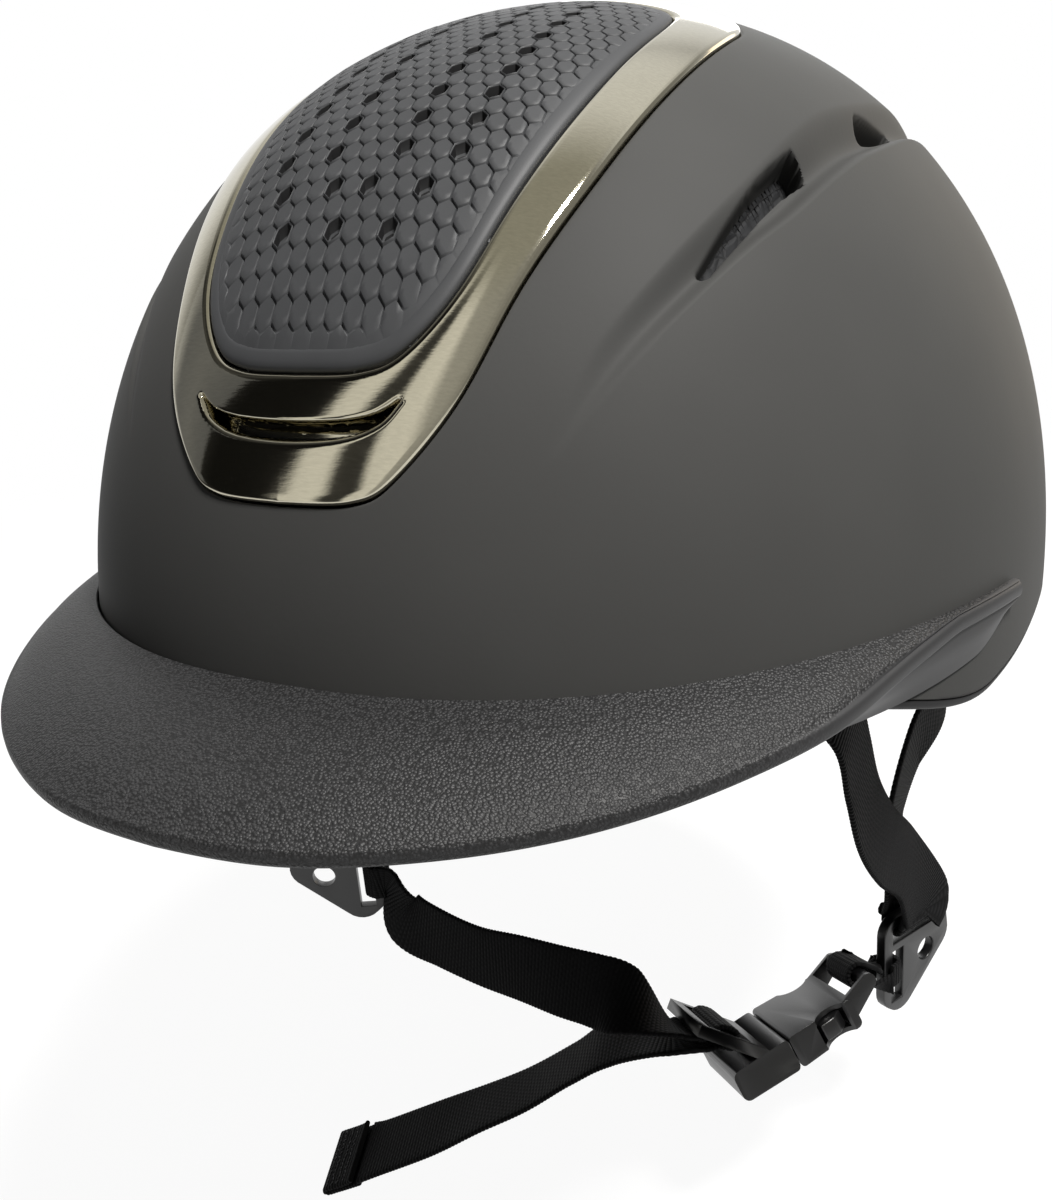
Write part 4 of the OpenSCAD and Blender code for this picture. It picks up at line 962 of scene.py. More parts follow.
def build_liner():
    t = np.arange(0, 360, 1.2)
    z = rim_z(t) + ROLL + FIT
    low = np.degrees(np.arctan2(z - MIDDLE[2], reach(t, z)))
    top = 89.5
    rows = []
    # the inner face from the crown down, with its air channels
    for f in np.arange(70, -1, -1) / 70:
        v = round_head(t, mix(low, top, f))
        out = np.degrees(np.arcsin(np.clip(v[:, 0], -1, 1)))
        channel = sum(np.exp(-((out - c) / 3.2) ** 4) for c in (-42, 0, 42))
        rows.append(on_skin(v, LINER_LOW + 0.2 + 6 * channel * ease((f - 0.14) / 0.1)))
    # the lower edge, then the outer face under the shell
    for d in (LINER_LOW + 0.8, LINER_LOW + 2.5, -14, -11.5):
        rows.append(on_skin(round_head(t, low), d) + [0, 0, 0.6])
    for f in np.arange(41) / 40:
        rows.append(shell_point(round_head(t, mix(low, top, f)), LINER_TOP))
    grid_object("liner_shell", np.array(rows), finishes["liner"], "helmet", ("foam_liner",),
                False, True, caps=True)


def cushion(name, surface, node, body, long_mm, wide_mm, n, channels=()):
    """A crowned pad with sewn channels. surface(a, b, h) places a and b from -1 to 1 at the
    height h, 0 at the seat and 1 on top. channels holds (direction, place, width)."""
    a, b = np.meshgrid(np.linspace(-1, 1, n[0]), np.linspace(-1, 1, n[1]), indexing="ij")
    corner = 0.42
    sx, sy = np.maximum(abs(a), 1e-6), np.maximum(abs(b), 1e-6)
    squeeze = np.minimum(1, ((1 + corner) / (sx ** 5 + sy ** 5 + corner)) ** 0.2)
    pa, pb = a * squeeze, b * squeeze
    rim = np.maximum(abs(a), abs(b))
    edge_mm = (1 - rim) * min(long_mm, wide_mm) / 2
    shoulder = np.clip(edge_mm / (PAD_THICK * 0.75), 0, 1)
    crown = np.sqrt(np.clip(1 - (1 - shoulder) ** 2, 0, 1))
    swell = 0.82 + 0.18 * (1 - rim ** 3)
    dip = np.zeros_like(a)
    for direction, at, width in channels:
        along = pa * long_mm / 2 if direction == "a" else pb * wide_mm / 2
        dip = np.maximum(dip, np.exp(-((along - at) / width) ** 2))
    seam = np.exp(-((edge_mm - 3.4) / 0.55) ** 2) * 0.16
    top = 0.48 + 0.5 * crown * swell - 0.42 * dip * (edge_mm > 2) - seam
    seat = 0.48 - 0.46 * crown
    upper, lower = surface(pa, pb, top), surface(pa, pb, seat)
    points = np.concatenate([upper, lower[::-1]])
    u = np.concatenate([pa, pa[::-1]]) * long_mm / 2
    w = np.concatenate([pb, pb[::-1] + 2.2]) * wide_mm / 2
    obj = grid_object(name, points, finishes["pads"], body, (node,), uv=(u, w))
    bm = bmesh.new()
    bm.from_mesh(obj.data)
    bmesh.ops.remove_doubles(bm, verts=bm.verts, dist=1e-5)
    open_edges = [e for e in bm.edges if e.is_boundary]
    bmesh.ops.holes_fill(bm, edges=open_edges, sides=0)
    bmesh.ops.recalc_face_normals(bm, faces=bm.faces)
    bm.to_mesh(obj.data)
    bm.free()


def head_pad(t0, t1, e0, e1):
    """The surface of a pad on the liner between two angles round and two above the level."""
    def surface(a, b, h):
        t, e = mix(t0, t1, (a + 1) / 2), mix(e0, e1, (b + 1) / 2)
        return on_skin(round_head(t, e), PAD_TOP - h * PAD_THICK * 0.98 - 0.05)
    return surface


def crown_surface(a, b, h):
    back, out = 90 + a * 37.5, b * 27.5 * np.sqrt(np.clip(1 - 0.35 * a ** 2, 0, 1))
    return on_skin(over_crown(back, out), PAD_TOP - FIT - h * PAD_THICK * 0.94 - 0.05)


def build_pads():
    cushion("brow_pad_knit", head_pad(-41.6, 41.6, 9.4, 26.6), "brow_pad", "helmet", 150, 33,
            (150, 40), (("a", -26, 1.6), ("a", 26, 1.6)))
    cushion("crown_pad_knit", crown_surface, "crown_pad", "helmet", 146, 108, (120, 90),
            (("b", -18, 1.8), ("b", 18, 1.8), ("a", -30, 1.8), ("a", 30, 1.8)))
    for lo, hi, name in ((74.4, 127.6, "left"), (-127.6, -74.4, "right")):
        cushion(f"side_pad_{name}_knit", head_pad(lo, hi, 22.3, 39.7), f"side_pad_{name}",
                "helmet", 84, 32, (90, 40), (("a", -12, 1.4), ("a", 12, 1.4)))


# ---------------------------------------------------------------- straps

# The dividers' places and their turns in degrees, left and right
DIVIDER_AT = np.array([[82, 22.5, -102.5], [-83.5, -34.6, -81.6]])
DIVIDER_TURN = (-25, 118)
WEB, BAR = 1.4, 1.5  # thickness of the webbing and radius of the bars it runs round
SLOT_MID, BAR_CLEAR = -2.3, BAR + WEB / 2 + 2 * FIT


def in_divider(side, x, y, z):
    """A place in the divider's own frame."""
    i = 0 if side > 0 else 1
    a = radians(DIVIDER_TURN[i])
    return DIVIDER_AT[i] + np.array([x * cos(a) - y * sin(a), x * sin(a) + y * cos(a), z])


def inside_wall(side, y, z):
    """The place against the inner face of the liner at y and z."""
    h = (CROWN if z > MIDDLE[2] else SKIRT) + LINER_LOW
    k = (1 - (abs(z - MIDDLE[2]) / h) ** SIDE) ** (PLAN / SIDE)
    b = (FRONT if y < 0 else REAR) + LINER_LOW
    x = (HALF_WIDTH + LINER_LOW) * (k - (abs(y) / b) ** PLAN) ** (1 / PLAN) - 2.8
    return np.array([side * x, y, z])


def web_points(points, guides, by_face, pitch):
    """Even places along a strap with its direction, its outer face and its width direction."""
    p, g = curve(points, 20), curve(guides, 20)
    s = arc_length(p)
    at = np.arange(int(s[-1] / pitch) + 1) * pitch
    p, g = read_between(at, s, p), read_between(at, s, g)
    along = unit(np.gradient(p, axis=0))
    if by_face:
        out = unit(g - along * (g * along).sum(1, keepdims=True))
        share = np.ones(len(p))
    else:
        out = unit(np.cross(along, g))
        share = np.clip(np.linalg.norm(g, axis=1), 0, 1)
    return at, p, out, np.cross(out, along), share


def web_piece(name, body, points, guides, nodes=(), by_face=False, thick=WEB):
    """Woven webbing along the points: rounded selvedges, raised cross ribs and a scalloped
    edge. The guides give its outer face, or else its width direction, where a guide shorter
    than 1 narrows the webbing."""
    sizes = bpy.context.scene.helmet_sizes
    at, p, out, side, share = web_points(points, guides, by_face, sizes.web_rib / 4)
    turn = np.radians(np.linspace(-90, 90, 7))
    flat = np.linspace(1, -1, 13)[1:-1]
    half, r = sizes.web_width / 2, thick / 2
    across = np.concatenate([half - r + r * np.cos(turn), (half - r) * flat])
    over = np.concatenate([r * np.sin(turn), np.full(len(flat), r)])
    across, over = np.concatenate([across, -across]), np.concatenate([over, -over])
    rib = abs(np.sin(pi * at / sizes.web_rib)) - 0.6
    edge = (abs(across) / half) ** 8
    wide = across[None] * share[:, None] + 0.2 * rib[:, None] * np.sign(across)[None] * edge[None]
    high = over[None] * (1 + 0.09 * rib[:, None])
    grid = p[:, None] + side[:, None] * wide[..., None] + out[:, None] * high[..., None]
    u = np.broadcast_to(across[None], grid.shape[:2])
    v = np.broadcast_to(at[:, None], grid.shape[:2])
    return grid_object(name, grid, finishes["webbing"], body, nodes, False, True, uv=(u, v),
                       caps=True, sharp=75)


def divider_wrap(side, s, start):
    """The webbing from its hanging part round the bar of the divider to the middle of its slot,
    and its faces there. s is the side of the divider, along its own x, that it comes down on."""
    face = in_divider(side, 1, 0, 0) - in_divider(side, 0, 0, 0)
    down = np.array([0, 0, -1.0 * s])
    points = [in_divider(side, x, SLOT_MID, z) for x, z in
              ((s * start, 18), (s * (BAR_CLEAR + 0.3), 13.2), (s * 2.15, 10.7), (0, 10.0))]
    return points, [face, face, unit(face + 0.9 * down), down]


# The hanging parts of the straps, by side
FRONT_WAY = {1: [[78.2, -44, 0], [79.4, -38.5, -15], [80.4, -32, -30], [81.4, -18, -46],
                 [82.4, 2, -63]],
             -1: [[-78.2, -47, 0], [-79.5, -45.5, -16], [-81, -43.5, -32], [-82.8, -41.5, -48]]}
REAR_WAY = {1: [[75, 55, -20], [83, 40, -28], [80, 19, -37], [77.6, 9, -53], [77, 13, -71]],
            -1: [[-75, 55, -20], [-79, 34, -31], [-80, 12, -42], [-82, -8, -53]]}
# Where they leave their anchors on the liner's wall, as (y, z), and the face they turn out
FRONT_ROOT, FRONT_FACE = ((-56, 36), (-53, 26), (-50, 14)), (0.951, -0.309)
REAR_ROOT, REAR_FACE = ((62, 24), (62, 10), (58, -9)), (0.899, 0.438)


def build_hanging_straps():
    for side, name in ((1, "left"), (-1, "right")):
        for place, root, root_face, way, lean, outer, start in (
                ("front", FRONT_ROOT, FRONT_FACE, FRONT_WAY[side], 0, side, BAR_CLEAR + 0.8),
                ("rear", REAR_ROOT, REAR_FACE, REAR_WAY[side], 0.3, -side, BAR_CLEAR + 1.7)):
            wrap, faces = divider_wrap(side, outer, start)
            points = [inside_wall(side, y, z) for y, z in root] + way + wrap
            guides = [[root_face[0] * side, root_face[1], 0]] * len(root)
            guides += [[side, 0 if i else lean, 0] for i in range(len(way))] + faces
            web_piece(f"{place}_webbing_{name}", "helmet", points, guides,
                      (f"{place}_strap_{name}",), True)


# The buckle's own frame at the socket's mouth: a runs into the socket, w is its width,
# n its thickness
MOUTH = np.array([53.0, -19, -113])
BUCKLE_A = unit([0.627, 0.718, 0.303])
BUCKLE_N = unit(np.cross(BUCKLE_A, [0.62, -0.695, 0.364]))
BUCKLE_W = np.cross(BUCKLE_N, BUCKLE_A)
# Where the socket's ear starts, its length and bend, and the length and lean of the plug's
# ladder lock
LIP, EAR, BEND, LADDER, LEAN = 20.0, 10.5, 25, 22.0, 50
LOOP_WAY, LOOP_BAR = 68, 2.2  # direction of the loop at the ear's bar, and its radius


def in_buckle(a, w, n):
    return MOUTH + BUCKLE_A * a + BUCKLE_W * w + BUCKLE_N * n


def on_ear(p, q):
    """A place beside the ear of the socket: p along it, q over it."""
    c, s = cos(radians(BEND)), sin(radians(BEND))
    return in_buckle(LIP - 2 + p * c + q * s, 0, -0.6 - p * s + q * c)


LADDER_DIR = -BUCKLE_A * cos(radians(LEAN)) - BUCKLE_N * sin(radians(LEAN))
LADDER_UP = BUCKLE_A * sin(radians(LEAN)) - BUCKLE_N * cos(radians(LEAN))


def on_ladder(along, up):
    """A place beside the ladder lock of the plug."""
    return in_buckle(-6, 0, -2.2) + LADDER_DIR * along + LADDER_UP * up


def chin_bar(n, e):
    """A place beside the lower bar of the right divider."""
    return in_divider(-1, n, -14.6 + e, -3.5)


def loop_bar(n, e):
    """A place beside the lower bar of the left divider."""
    return in_divider(1, n, -14.6 + e, -1.5)


# The chin strap and the free end: places of their middle line and their width directions
CHIN_WAY = [[-58.2, -33, -93.2], [-45, -35, -95.7], [-30.4, -36, -97.6], [-16, -37, -97.1],
            [-3, -38, -96.9], [7.6, -38.3, -96.7], [16.7, -38.3, -97.5]]
CHIN_WIDE = [[-0.25, -0.18, -0.95], [-0.14, -0.07, -0.99], [-0.05, -0.07, -1],
             [0, -0.21, -0.98], [0.02, -0.37, -0.93], [0.05, -0.5, -0.87], [0.2, -0.8, -0.5]]
CHIN_BENDS = ((-62, -33, -92), (20, -40, -98))  # places near the chin strap's two ends
TAIL_FROM = MOUTH + [-29.9, -26.6, 5.5]
TAIL_WAY = np.array([[-9, 4, -2], [-19.7, -0.4, -9.3], [-31.5, -6.4, -17.4],
                     [-43.3, -12.4, -23.4], [-56.7, -17.4, -31.1], [-73.8, -22.4, -40.7],
                     [-79.2, -23.4, -43.8]])
TAIL_WIDE = [[0.39, -0.92, 0.06], [0.35, -0.93, 0.13], [0.39, -0.91, 0.12], [0.37, -0.93, 0.06],
             [0.35, -0.93, -0.08], [0.31, -0.94, -0.13], [0.3, -0.93, -0.2]]
STRAP_CLEAR = BAR + WEB / 2 + FIT
# The folded end as (along, over), and the rows of stitches along it
FOLD = ((-0.3, -0.75), (4, -0.8), (9, -0.8), (12.3, -0.75), (13.1, 0), (12.3, 0.78), (9, 0.82),
        (5, 0.86), (2.6, 1.1), (1.3, 1.75))
STITCH_ROWS, STITCHES, STITCH_PITCH = (5.0, 7.2, 9.6, 11.4), 13, 1.42
THREAD = 0.3


def build_chin_strap():
    points = [chin_bar(n, e) for n, e in
              ((BAR_CLEAR, -3), (BAR_CLEAR, 1.2), (0, 4), (-BAR_CLEAR, 1.2),
               (-BAR_CLEAR - 1.5, -4))]
    points += CHIN_WAY
    points += [on_ladder(LADDER + along, up) for along, up in
               ((1.5, -STRAP_CLEAR - 1.2), (-2, -STRAP_CLEAR - 0.3), (-3.8, -2.1), (-5.5, 0),
                (-7.1, 2.2), (-9.5, STRAP_CLEAR + 0.2), (-11.9, 2.2), (-12.7, 0.6))]
    guides = [[0, 0, -0.55]] * 5 + [unit(g) for g in CHIN_WIDE] + [BUCKLE_W] * 8
    strap = web_piece("chin_webbing", None, points, guides, ("chin_strap",))
    start, end = (tuple(mm / 1000 for mm in place) for place in CHIN_BENDS)
    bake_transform(strap)
    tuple(start)
    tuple(end)


def build_buckle_loop():
    r = LOOP_BAR + WEB / 2 + 1.5 * FIT
    way = on_ear(cos(radians(LOOP_WAY)), sin(radians(LOOP_WAY))) - on_ear(0, 0)

    def ear_bar(a):
        turn = radians(LOOP_WAY + a)
        return on_ear(EAR + cos(turn) * r, sin(turn) * r)

    points = [loop_bar(n, e) for n, e in
              ((BAR_CLEAR, -0.6), (BAR_CLEAR, 1.2), (0.8 + WEB, 3.4), (0, 3.9),
               (-0.8 - WEB, 3.4), (-BAR_CLEAR, 1.2), (-BAR_CLEAR - 1.5, -2))]
    points += [ear_bar(-90) + way * 3] + [ear_bar(a) for a in (-90, -130, -170, -210, -260)]
    points += [ear_bar(-275) + way * 3, loop_bar(BAR_CLEAR + WEB + 1, -2.5)]
    up, flat = np.array([0, 0, 0.35]), BUCKLE_W * 0.7
    web_piece("loop_webbing", "helmet", points, [up] * 7 + [flat] * 7 + [up], ("buckle_loop",),
              thick=WEB - 0.2)


def build_tail():
    points = [on_ladder(LADDER + along, up) for along, up in
              ((-12.6, -0.6), (-11.8, -2.1), (-9.5, -STRAP_CLEAR), (-5, -STRAP_CLEAR - 2.3),
               (1, -STRAP_CLEAR - 5))]
    points += [TAIL_FROM + w for w in TAIL_WAY]
    guides = [BUCKLE_W] * 5 + [unit(g) for g in TAIL_WIDE]
    web_piece("tail_webbing", "buckle_plug", points, guides, ("tail_strap",))
    # the end is folded back on itself and sewn down; the cut edge stands up as a ridge
    way = unit(TAIL_WAY[-1] - TAIL_WAY[-2])
    wide = unit(TAIL_WIDE[-1])
    up = unit(np.cross(way, wide))
    start = TAIL_FROM + TAIL_WAY[-1]
    fold = [start + way * along + up * over for along, over in FOLD]
    web_piece("tail_fold", "buckle_plug", fold, [wide] * len(fold), ("strap_end",))
    rng = np.random.default_rng(5)
    verts, faces = [], []
    for first in STITCH_ROWS:
        for k in range(STITCHES):
            along = first + rng.uniform(-0.25, 0.25)
            across = (k - STITCHES // 2) * STITCH_PITCH
            lean = unit(wide * 0.9 + way * rng.uniform(-0.7, 0.9))
            stitch(verts, faces, start + way * along + wide * across + up * 1.55, lean, up,
                   1.25 + rng.uniform(-0.2, 0.3))
    object_of("tail_stitches", verts, faces, finishes["thread"], "buckle_plug", ("strap_end",),
              sharp=80)


def stitch(verts, faces, mid, lean, up, long_mm):
    """One stitch: a thread that dives into the webbing at both ends."""
    side = np.cross(up, lean)
    base = len(verts)
    for f in np.linspace(-1, 1, 7):
        lift = 0.26 * (1 - abs(f) ** 2.5) - 0.22
        for k in range(6):
            a = k * pi / 3
            verts.append(mid + lean * f * long_mm / 2 + side * cos(a) * THREAD * 0.6
                         + up * (lift + sin(a) * THREAD * 0.5))
    for i in range(6):
        for k in range(6):
            a, b = base + i * 6 + k, base + i * 6 + (k + 1) % 6
            faces.append((a, b, b + 6, a + 6))
    faces.append([base + k for k in range(6)][::-1])
    faces.append([base + 36 + k for k in range(6)])


# ---------------------------------------------------------------- moulded parts

def build_dividers():
    for name in ("left", "right"):
        bevelled(f"divider_{name}_ring", f"divider_{name}", finishes["buckle"], "helmet",
                 0.95, 4, 40)


def build_buckle():
    bevelled("socket_housing", "buckle_socket", finishes["buckle"], "helmet", 0.38, 3, 30)
    bevelled("plug_grip", "buckle_plug", finishes["buckle"], "buckle_plug", 0.6, 3, 30)
    for name in ("left", "right"):
        bevelled(f"prong_{name}_spring", f"prong_{name}", finishes["buckle"], f"prong_{name}",
                 0.45, 3, 25)


def build_harness():
    for name in ("left", "right"):
        bevelled(f"arm_{name}_band", f"harness_arm_{name}", finishes["harness"],
                 f"harness_arm_{name}", 0.22, 2, 30)


def build_dial():
    bevelled("dial_case", "dial_base", finishes["harness"], "dial_housing", 0.5, 3, 35)
    bevelled("dial_lid", "dial_cover", finishes["harness"], "dial_housing", 0.3, 2, 35)
    bevelled("dial_wheel", "fit_dial", finishes["harness"], "fit_dial", 0.35, 3, 35)

    def at_nape(a, b, h):
        return np.stack([a * 23.6, 92.3 - h * PAD_THICK * 0.96 + 0 * a, -46 + b * 14.0], -1)

    cushion("nape_cushion_knit", at_nape, "nape_pad", "dial_housing", 47, 28, (60, 40))


def carried(node, material):
    """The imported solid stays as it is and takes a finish."""
    obj = frame["nodes"][node]
    if not obj.material_slots:
        obj.data.materials.append(material)
    for holder in obj.material_slots:
        holder.material = material


def build_small_parts():
    for node, finish in (("strap_anchors", "harness"), ("temple_pins", "harness"),
                         ("pinion", "pinion"), ("dial_screws", "screw"),
                         ("detent_spring", "spring")):
        carried(node, finishes[finish])


# ---------------------------------------------------------------- stage

# The photo's camera, in metres: its place, its axes and its lens
CAMERA_AT = np.array([141.6, -291.0, 123.5]) / 1000
CAMERA_AXES = ((0.878, 0.472, -0.079), (-0.097, 0.337, 0.936), (0.468, -0.815, 0.342))
LENS_MM = 37.29

# What the metal mirrors in front of it, by the angle from the front: (degrees, grey level)
STUDIO = ((-90, 0.2), (-84, 0.04), (-73, 0.08), (-66, 0.03), (-58, 0.01), (-41.6, 0.012),
          (-39.4, 0.95), (-33.5, 1.0), (-31, 0.06), (-24.5, 0.05), (-21.5, 0.95), (-11, 1.0),
          (-4, 0.5), (30, 0.42), (90, 0.3))
WALL_TINT = (1, 0.985, 0.93)  # how warm those walls are
CEILING = (0.42, 0.41, 0.36, 1)
# Where the white sweep lies and where the soft light comes from
SWEEP_WAY, SOFT_WAY = (-0.50, 0.80, -0.10), (0.10, 0.15, 0.98)
# Level of the soft light from all round, from below and from above
SOFT_LOW, SOFT_HIGH = 0.006, 0.2
# The floor's paint, its glow to the eye, how far under the helmet it lies, and over which
# distances it fades into the sweep, in metres
FLOOR_PAINT, FLOOR_GLOW, FLOOR_DROP, FLOOR_FADE = "#616161", 0.93, 0.004, (0.45, 1.1)
WHITE = (1, 1, 1, 1)
AIM = (0, 0, 0.03)
# Lamps: name, place in metres, width, height, watts and colour
LAMPS = (("key softbox", (0.8, -0.25, 1.6), 0.3, 0.36, 52, "#fffdfa"),
         ("left fill", (-1.7, -0.5, 0.6), 0.9, 1.4, 0.6, "#f4f7ff"),
         ("warm rim", (0.5, 1.85, 0.3), 0.5, 1.2, 3, "#ffeacb"),
         ("back softbox", (-0.7, 1.9, 0.5), 1.0, 1.0, 6, "#ffffff"))


def background_rays(tree):
    """The ray kinds, and 1 for the rays that see the backdrop straight or through something
    clear."""
    path = add(tree, "ShaderNodeLightPath")
    seen = add(tree, "ShaderNodeMath", operation="MAXIMUM",
               links={0: path.outputs["Is Camera Ray"], 1: path.outputs["Is Transmission Ray"]})
    return path, seen


def build_world():
    world = bpy.data.worlds.new("studio")
    bpy.context.scene.world = world
    world.use_nodes = True
    t = world.node_tree
    t.nodes.clear()
    path, seen = background_rays(t)
    where = add(t, "ShaderNodeTexCoord").outputs["Generated"]
    part = add(t, "ShaderNodeSeparateXYZ", links={0: where})
    # in front, soft boxes and dark walls
    ahead = add(t, "ShaderNodeMath", operation="MULTIPLY", values={1: -1.0},
                links={0: part.outputs["Y"]})
    angle = add(t, "ShaderNodeMath", operation="ARCTAN2", links={0: part.outputs["X"], 1: ahead})
    turn = add(t, "ShaderNodeMapRange", values={"From Min": -pi / 2, "From Max": pi / 2},
               links={"Value": angle})
    boxes = add(t, "ShaderNodeValToRGB", links={"Fac": turn})
    ramp = boxes.color_ramp
    while len(ramp.elements) < len(STUDIO):
        ramp.elements.new(0.5)
    for element, (from_front, level) in zip(ramp.elements, STUDIO):
        element.position = (from_front + 90) / 180
        element.color = (*(level * tint for tint in WALL_TINT), 1)
    # above, a grey ceiling; behind and overhead at the back, the white sweep
    behind = add(t, "ShaderNodeVectorMath", operation="DOT_PRODUCT",
                 values={1: SWEEP_WAY}, links={0: where})
    ceiling, wall, back, high = (
        add(t, "ShaderNodeMapRange", interpolation_type="SMOOTHSTEP", links={"Value": source},
            values={"From Min": low, "From Max": full})
        for source, low, full in ((part.outputs["Z"], 0.84, 0.97),
                                  (behind.outputs["Value"], 0.32, 0.75),
                                  (part.outputs["Y"], 0.05, 0.45),
                                  (part.outputs["Z"], 0.45, 0.8)))
    front = add(t, "ShaderNodeMix", data_type="RGBA", values={"B": CEILING},
                links={"Factor": ceiling, "A": boxes})
    overhead = add(t, "ShaderNodeMath", operation="MULTIPLY", links={0: back, 1: high})
    sweep = add(t, "ShaderNodeMath", operation="MAXIMUM", links={0: wall, 1: overhead})
    mirrored = add(t, "ShaderNodeMix", data_type="RGBA", values={"B": WHITE},
                   links={"Factor": sweep, "A": front.outputs["Result"]})
    studio = add(t, "ShaderNodeBackground", values={"Strength": 1.0},
                 links={"Color": mirrored.outputs["Result"]})
    # the soft light on the object comes from above
    above = add(t, "ShaderNodeVectorMath", operation="DOT_PRODUCT",
                values={1: SOFT_WAY}, links={0: where})
    level = add(t, "ShaderNodeMapRange", interpolation_type="SMOOTHSTEP",
                values={"From Min": -0.1, "From Max": 1.0, "To Min": SOFT_LOW,
                        "To Max": SOFT_HIGH}, links={"Value": above.outputs["Value"]})
    soft = add(t, "ShaderNodeBackground", values={"Color": WHITE}, links={"Strength": level})
    white = add(t, "ShaderNodeBackground", values={"Color": WHITE, "Strength": 1.0})
    lit = add(t, "ShaderNodeMixShader",
              links={"Fac": path.outputs["Is Glossy Ray"], 1: soft, 2: studio})
    out = add(t, "ShaderNodeMixShader", links={"Fac": seen, 1: lit, 2: white})
    add(t, "ShaderNodeOutputWorld", links={"Surface": out})


def build_floor():
    # painted board: grey to the lamps, so that it takes the soft shadow, and white to the eye
    m, t, s = finish_named("studio floor matt white paint",
                           {"Base Color": (*linear(FLOOR_PAINT), 1), "Roughness": 0.9,
                            "Specular IOR Level": 0.1, "Emission Color": WHITE})
    path, seen = background_rays(t)
    shown = add(t, "ShaderNodeMath", operation="MAXIMUM",
                links={0: seen, 1: path.outputs["Is Glossy Ray"]})
    glow = add(t, "ShaderNodeMath", operation="MULTIPLY", values={1: FLOOR_GLOW},
               links={0: shown})
    t.links.new(glow.outputs[0], s.inputs["Emission Strength"])
    where = add(t, "ShaderNodeTexCoord").outputs["Object"]
    far = add(t, "ShaderNodeVectorMath", operation="LENGTH", links={0: where})
    fade = add(t, "ShaderNodeMapRange", interpolation_type="SMOOTHSTEP",
               values={"From Min": FLOOR_FADE[0], "From Max": FLOOR_FADE[1]},
               links={"Value": far.outputs["Value"]})
    clear = add(t, "ShaderNodeBsdfTransparent")
    both = add(t, "ShaderNodeMixShader", links={"Fac": fade, 1: s, 2: clear})
    end = next(n for n in t.nodes if n.type == "OUTPUT_MATERIAL")
    t.links.new(both.outputs[0], end.inputs["Surface"])
    mesh = bpy.data.meshes.new("studio_floor")
    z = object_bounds()[0][2] - FLOOR_DROP
    mesh.from_pydata([(-2, -2, z), (2, -2, z), (2, 2, z), (-2, 2, z)], [], [(0, 1, 2, 3)])
    mesh.materials.append(m)
    floor = bpy.data.objects.new("studio_floor", mesh)
    bpy.context.scene.collection.objects.link(floor)
    floor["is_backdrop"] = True


def build_lamps():
    for name, at, wide, tall, watts, code in LAMPS:
        data = bpy.data.lights.new(name, "AREA")
        data.shape, data.size, data.size_y = "RECTANGLE", wide, tall
        data.energy, data.color = watts, linear(code)
        lamp = bpy.data.objects.new(name, data)
        bpy.context.scene.collection.objects.link(lamp)
        lamp.location = at
        lamp.rotation_euler = (Vector(at) - Vector(AIM)).to_track_quat("Z", "Y").to_euler()


def build_camera():
    scene = bpy.context.scene
    data = bpy.data.cameras.new("camera")
    data.sensor_width, data.sensor_fit, data.lens = 36, "AUTO", LENS_MM
    data.clip_start, data.clip_end = 0.01, 50
    camera = bpy.data.objects.new("camera", data)
    scene.collection.objects.link(camera)
    axes = Matrix(CAMERA_AXES).transposed().to_4x4()
    camera.matrix_world = Matrix.Translation(Vector(CAMERA_AT.tolist())) @ axes
    scene.camera = camera
    scene.view_settings.view_transform = "Standard"


# ---------------------------------------------------------------- operators

class HELMET_OT_finishes(bpy.types.Operator):
    """Makes the finishes of all the pieces from the chosen colours"""
    bl_idname = "helmet.finishes"
    bl_label = "Finishes"

    def execute(self, context):
        make_finishes(context.scene)
        return {"FINISHED"}


class HELMET_OT_shell(bpy.types.Operator):
    """Builds the coated shell with its scoops and vents, the nets and the rolled edge"""
    bl_idname = "helmet.shell"
    bl_label = "Shell, nets and edge"

    def execute(self, context):
        build_shell()
        build_nets()
        build_rim_cover()
        return {"FINISHED"}


class HELMET_OT_trim(bpy.types.Operator):
    """Builds the brushed trim frame with its intake slot"""
    bl_idname = "helmet.trim"
    bl_label = "Trim frame"

    def execute(self, context):
        build_trim()
        return {"FINISHED"}


class HELMET_OT_panel(bpy.types.Operator):
    """Builds the honeycomb panel with its vent holes"""
    bl_idname = "helmet.panel"
    bl_label = "Honeycomb panel"

    def execute(self, context):
        build_panel(context.scene.helmet_sizes)
        return {"FINISHED"}


class HELMET_OT_visor(bpy.types.Operator):
    """Builds the grained visor with its arms"""
    bl_idname = "helmet.visor"
    bl_label = "Visor"

    def execute(self, context):
        build_visor()
        return {"FINISHED"}


class HELMET_OT_liner(bpy.types.Operator):
    """Builds the foam liner with its air channels"""
    bl_idname = "helmet.liner"
    bl_label = "Foam liner"

    def execute(self, context):
        build_liner()
        return {"FINISHED"}


class HELMET_OT_pads(bpy.types.Operator):
    """Builds the knitted comfort pads"""
    bl_idname = "helmet.pads"
    bl_label = "Comfort pads"

    def execute(self, context):
        build_pads()
        return {"FINISHED"}


class HELMET_OT_straps(bpy.types.Operator):
    """Builds the webbing that hangs from the liner to the two dividers"""
    bl_idname = "helmet.straps"
    bl_label = "Hanging straps"

    def execute(self, context):
        build_hanging_straps()
        return {"FINISHED"}


class HELMET_OT_chin(bpy.types.Operator):
    """Builds the chin strap, the webbing loop of the buckle and the free strap end"""
    bl_idname = "helmet.chin"
    bl_label = "Chin strap and tail"

    def execute(self, context):
        build_chin_strap()
        build_buckle_loop()
        build_tail()
        return {"FINISHED"}


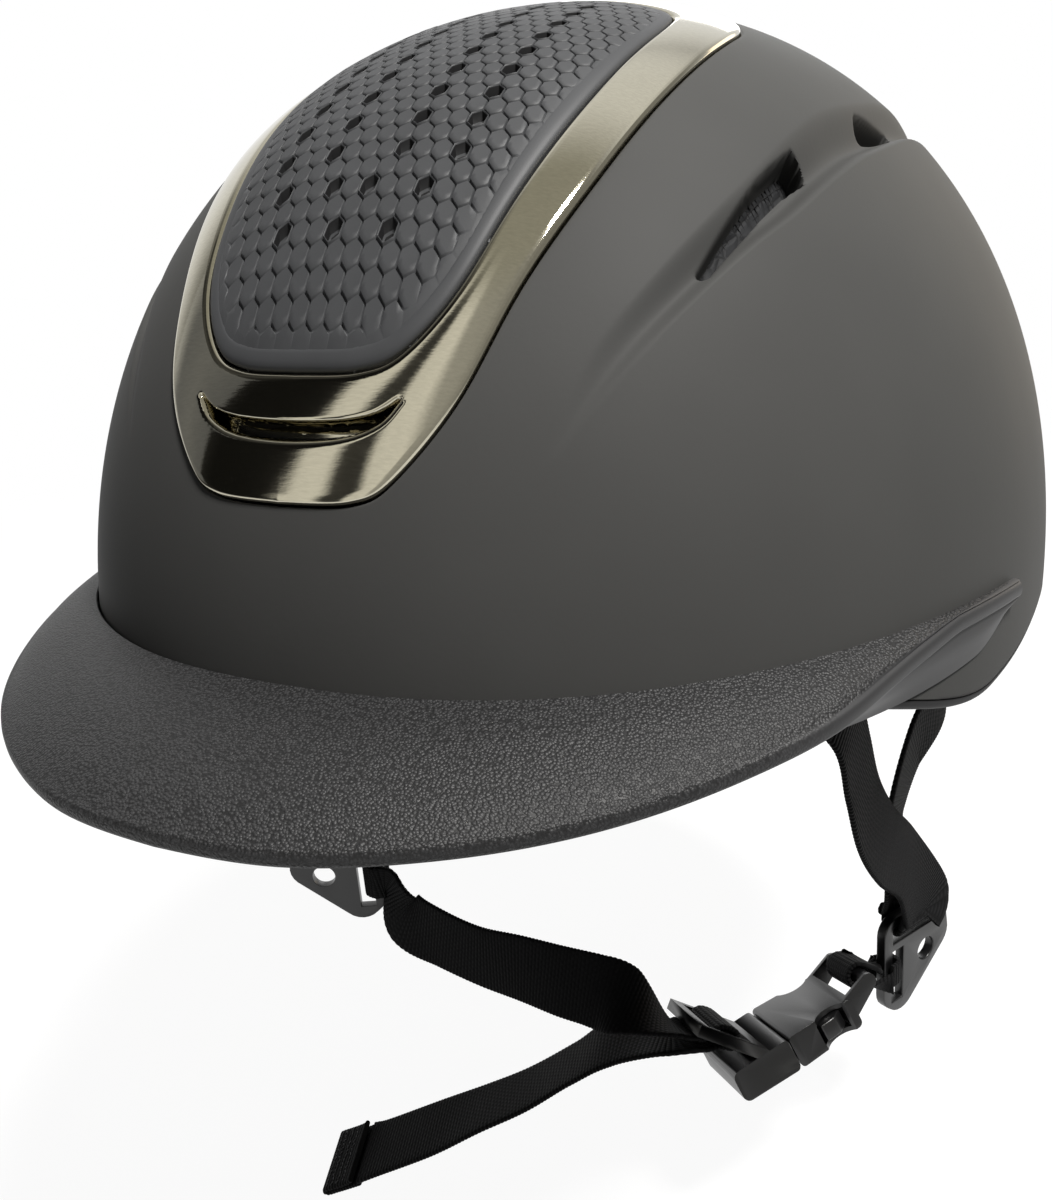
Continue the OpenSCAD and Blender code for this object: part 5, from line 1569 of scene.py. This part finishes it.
class HELMET_OT_buckle(bpy.types.Operator):
    """Builds the moulded dividers and the two halves of the side release buckle"""
    bl_idname = "helmet.buckle"
    bl_label = "Buckle and dividers"

    def execute(self, context):
        build_dividers()
        build_buckle()
        return {"FINISHED"}


class HELMET_OT_harness(bpy.types.Operator):
    """Builds the arms of the fit harness, the dial and its housing"""
    bl_idname = "helmet.harness"
    bl_label = "Fit harness"

    def execute(self, context):
        build_harness()
        build_dial()
        build_small_parts()
        return {"FINISHED"}


class HELMET_OT_stage(bpy.types.Operator):
    """Sets the floor, the soft studio light and the camera"""
    bl_idname = "helmet.stage"
    bl_label = "Studio"

    def execute(self, context):
        build_floor()
        build_world()
        build_lamps()
        build_camera()
        return {"FINISHED"}


STEPS = ("finishes", "shell", "trim", "panel", "visor", "liner", "pads", "straps", "chin",
         "buckle", "harness", "stage")


class HELMET_PT_panel(bpy.types.Panel):
    """Colours, sizes and building steps of the helmet"""
    bl_idname = "HELMET_PT_panel"
    bl_label = "Riding Helmet"
    bl_space_type = "VIEW_3D"
    bl_region_type = "UI"
    bl_category = "Helmet"

    def draw(self, context):
        for group in (context.scene.helmet_colours, context.scene.helmet_sizes):
            box = self.layout.box()
            for key in group.__annotations__:
                box.prop(group, key)
        for step in STEPS:
            self.layout.operator(f"helmet.{step}")


CLASSES = (HELMET_PG_colours, HELMET_PG_sizes, HELMET_OT_finishes, HELMET_OT_shell,
           HELMET_OT_trim, HELMET_OT_panel, HELMET_OT_visor, HELMET_OT_liner, HELMET_OT_pads,
           HELMET_OT_straps, HELMET_OT_chin, HELMET_OT_buckle, HELMET_OT_harness,
           HELMET_OT_stage, HELMET_PT_panel)


def register():
    for cls in CLASSES:
        bpy.utils.register_class(cls)
    bpy.types.Scene.helmet_colours = PointerProperty(type=HELMET_PG_colours)
    bpy.types.Scene.helmet_sizes = PointerProperty(type=HELMET_PG_sizes)


def unregister():
    del bpy.types.Scene.helmet_colours, bpy.types.Scene.helmet_sizes
    for cls in reversed(CLASSES):
        bpy.utils.unregister_class(cls)


def main():
    register()
    for step in STEPS:
        getattr(bpy.ops.helmet, step)()


if __name__ == "__main__":
    main()
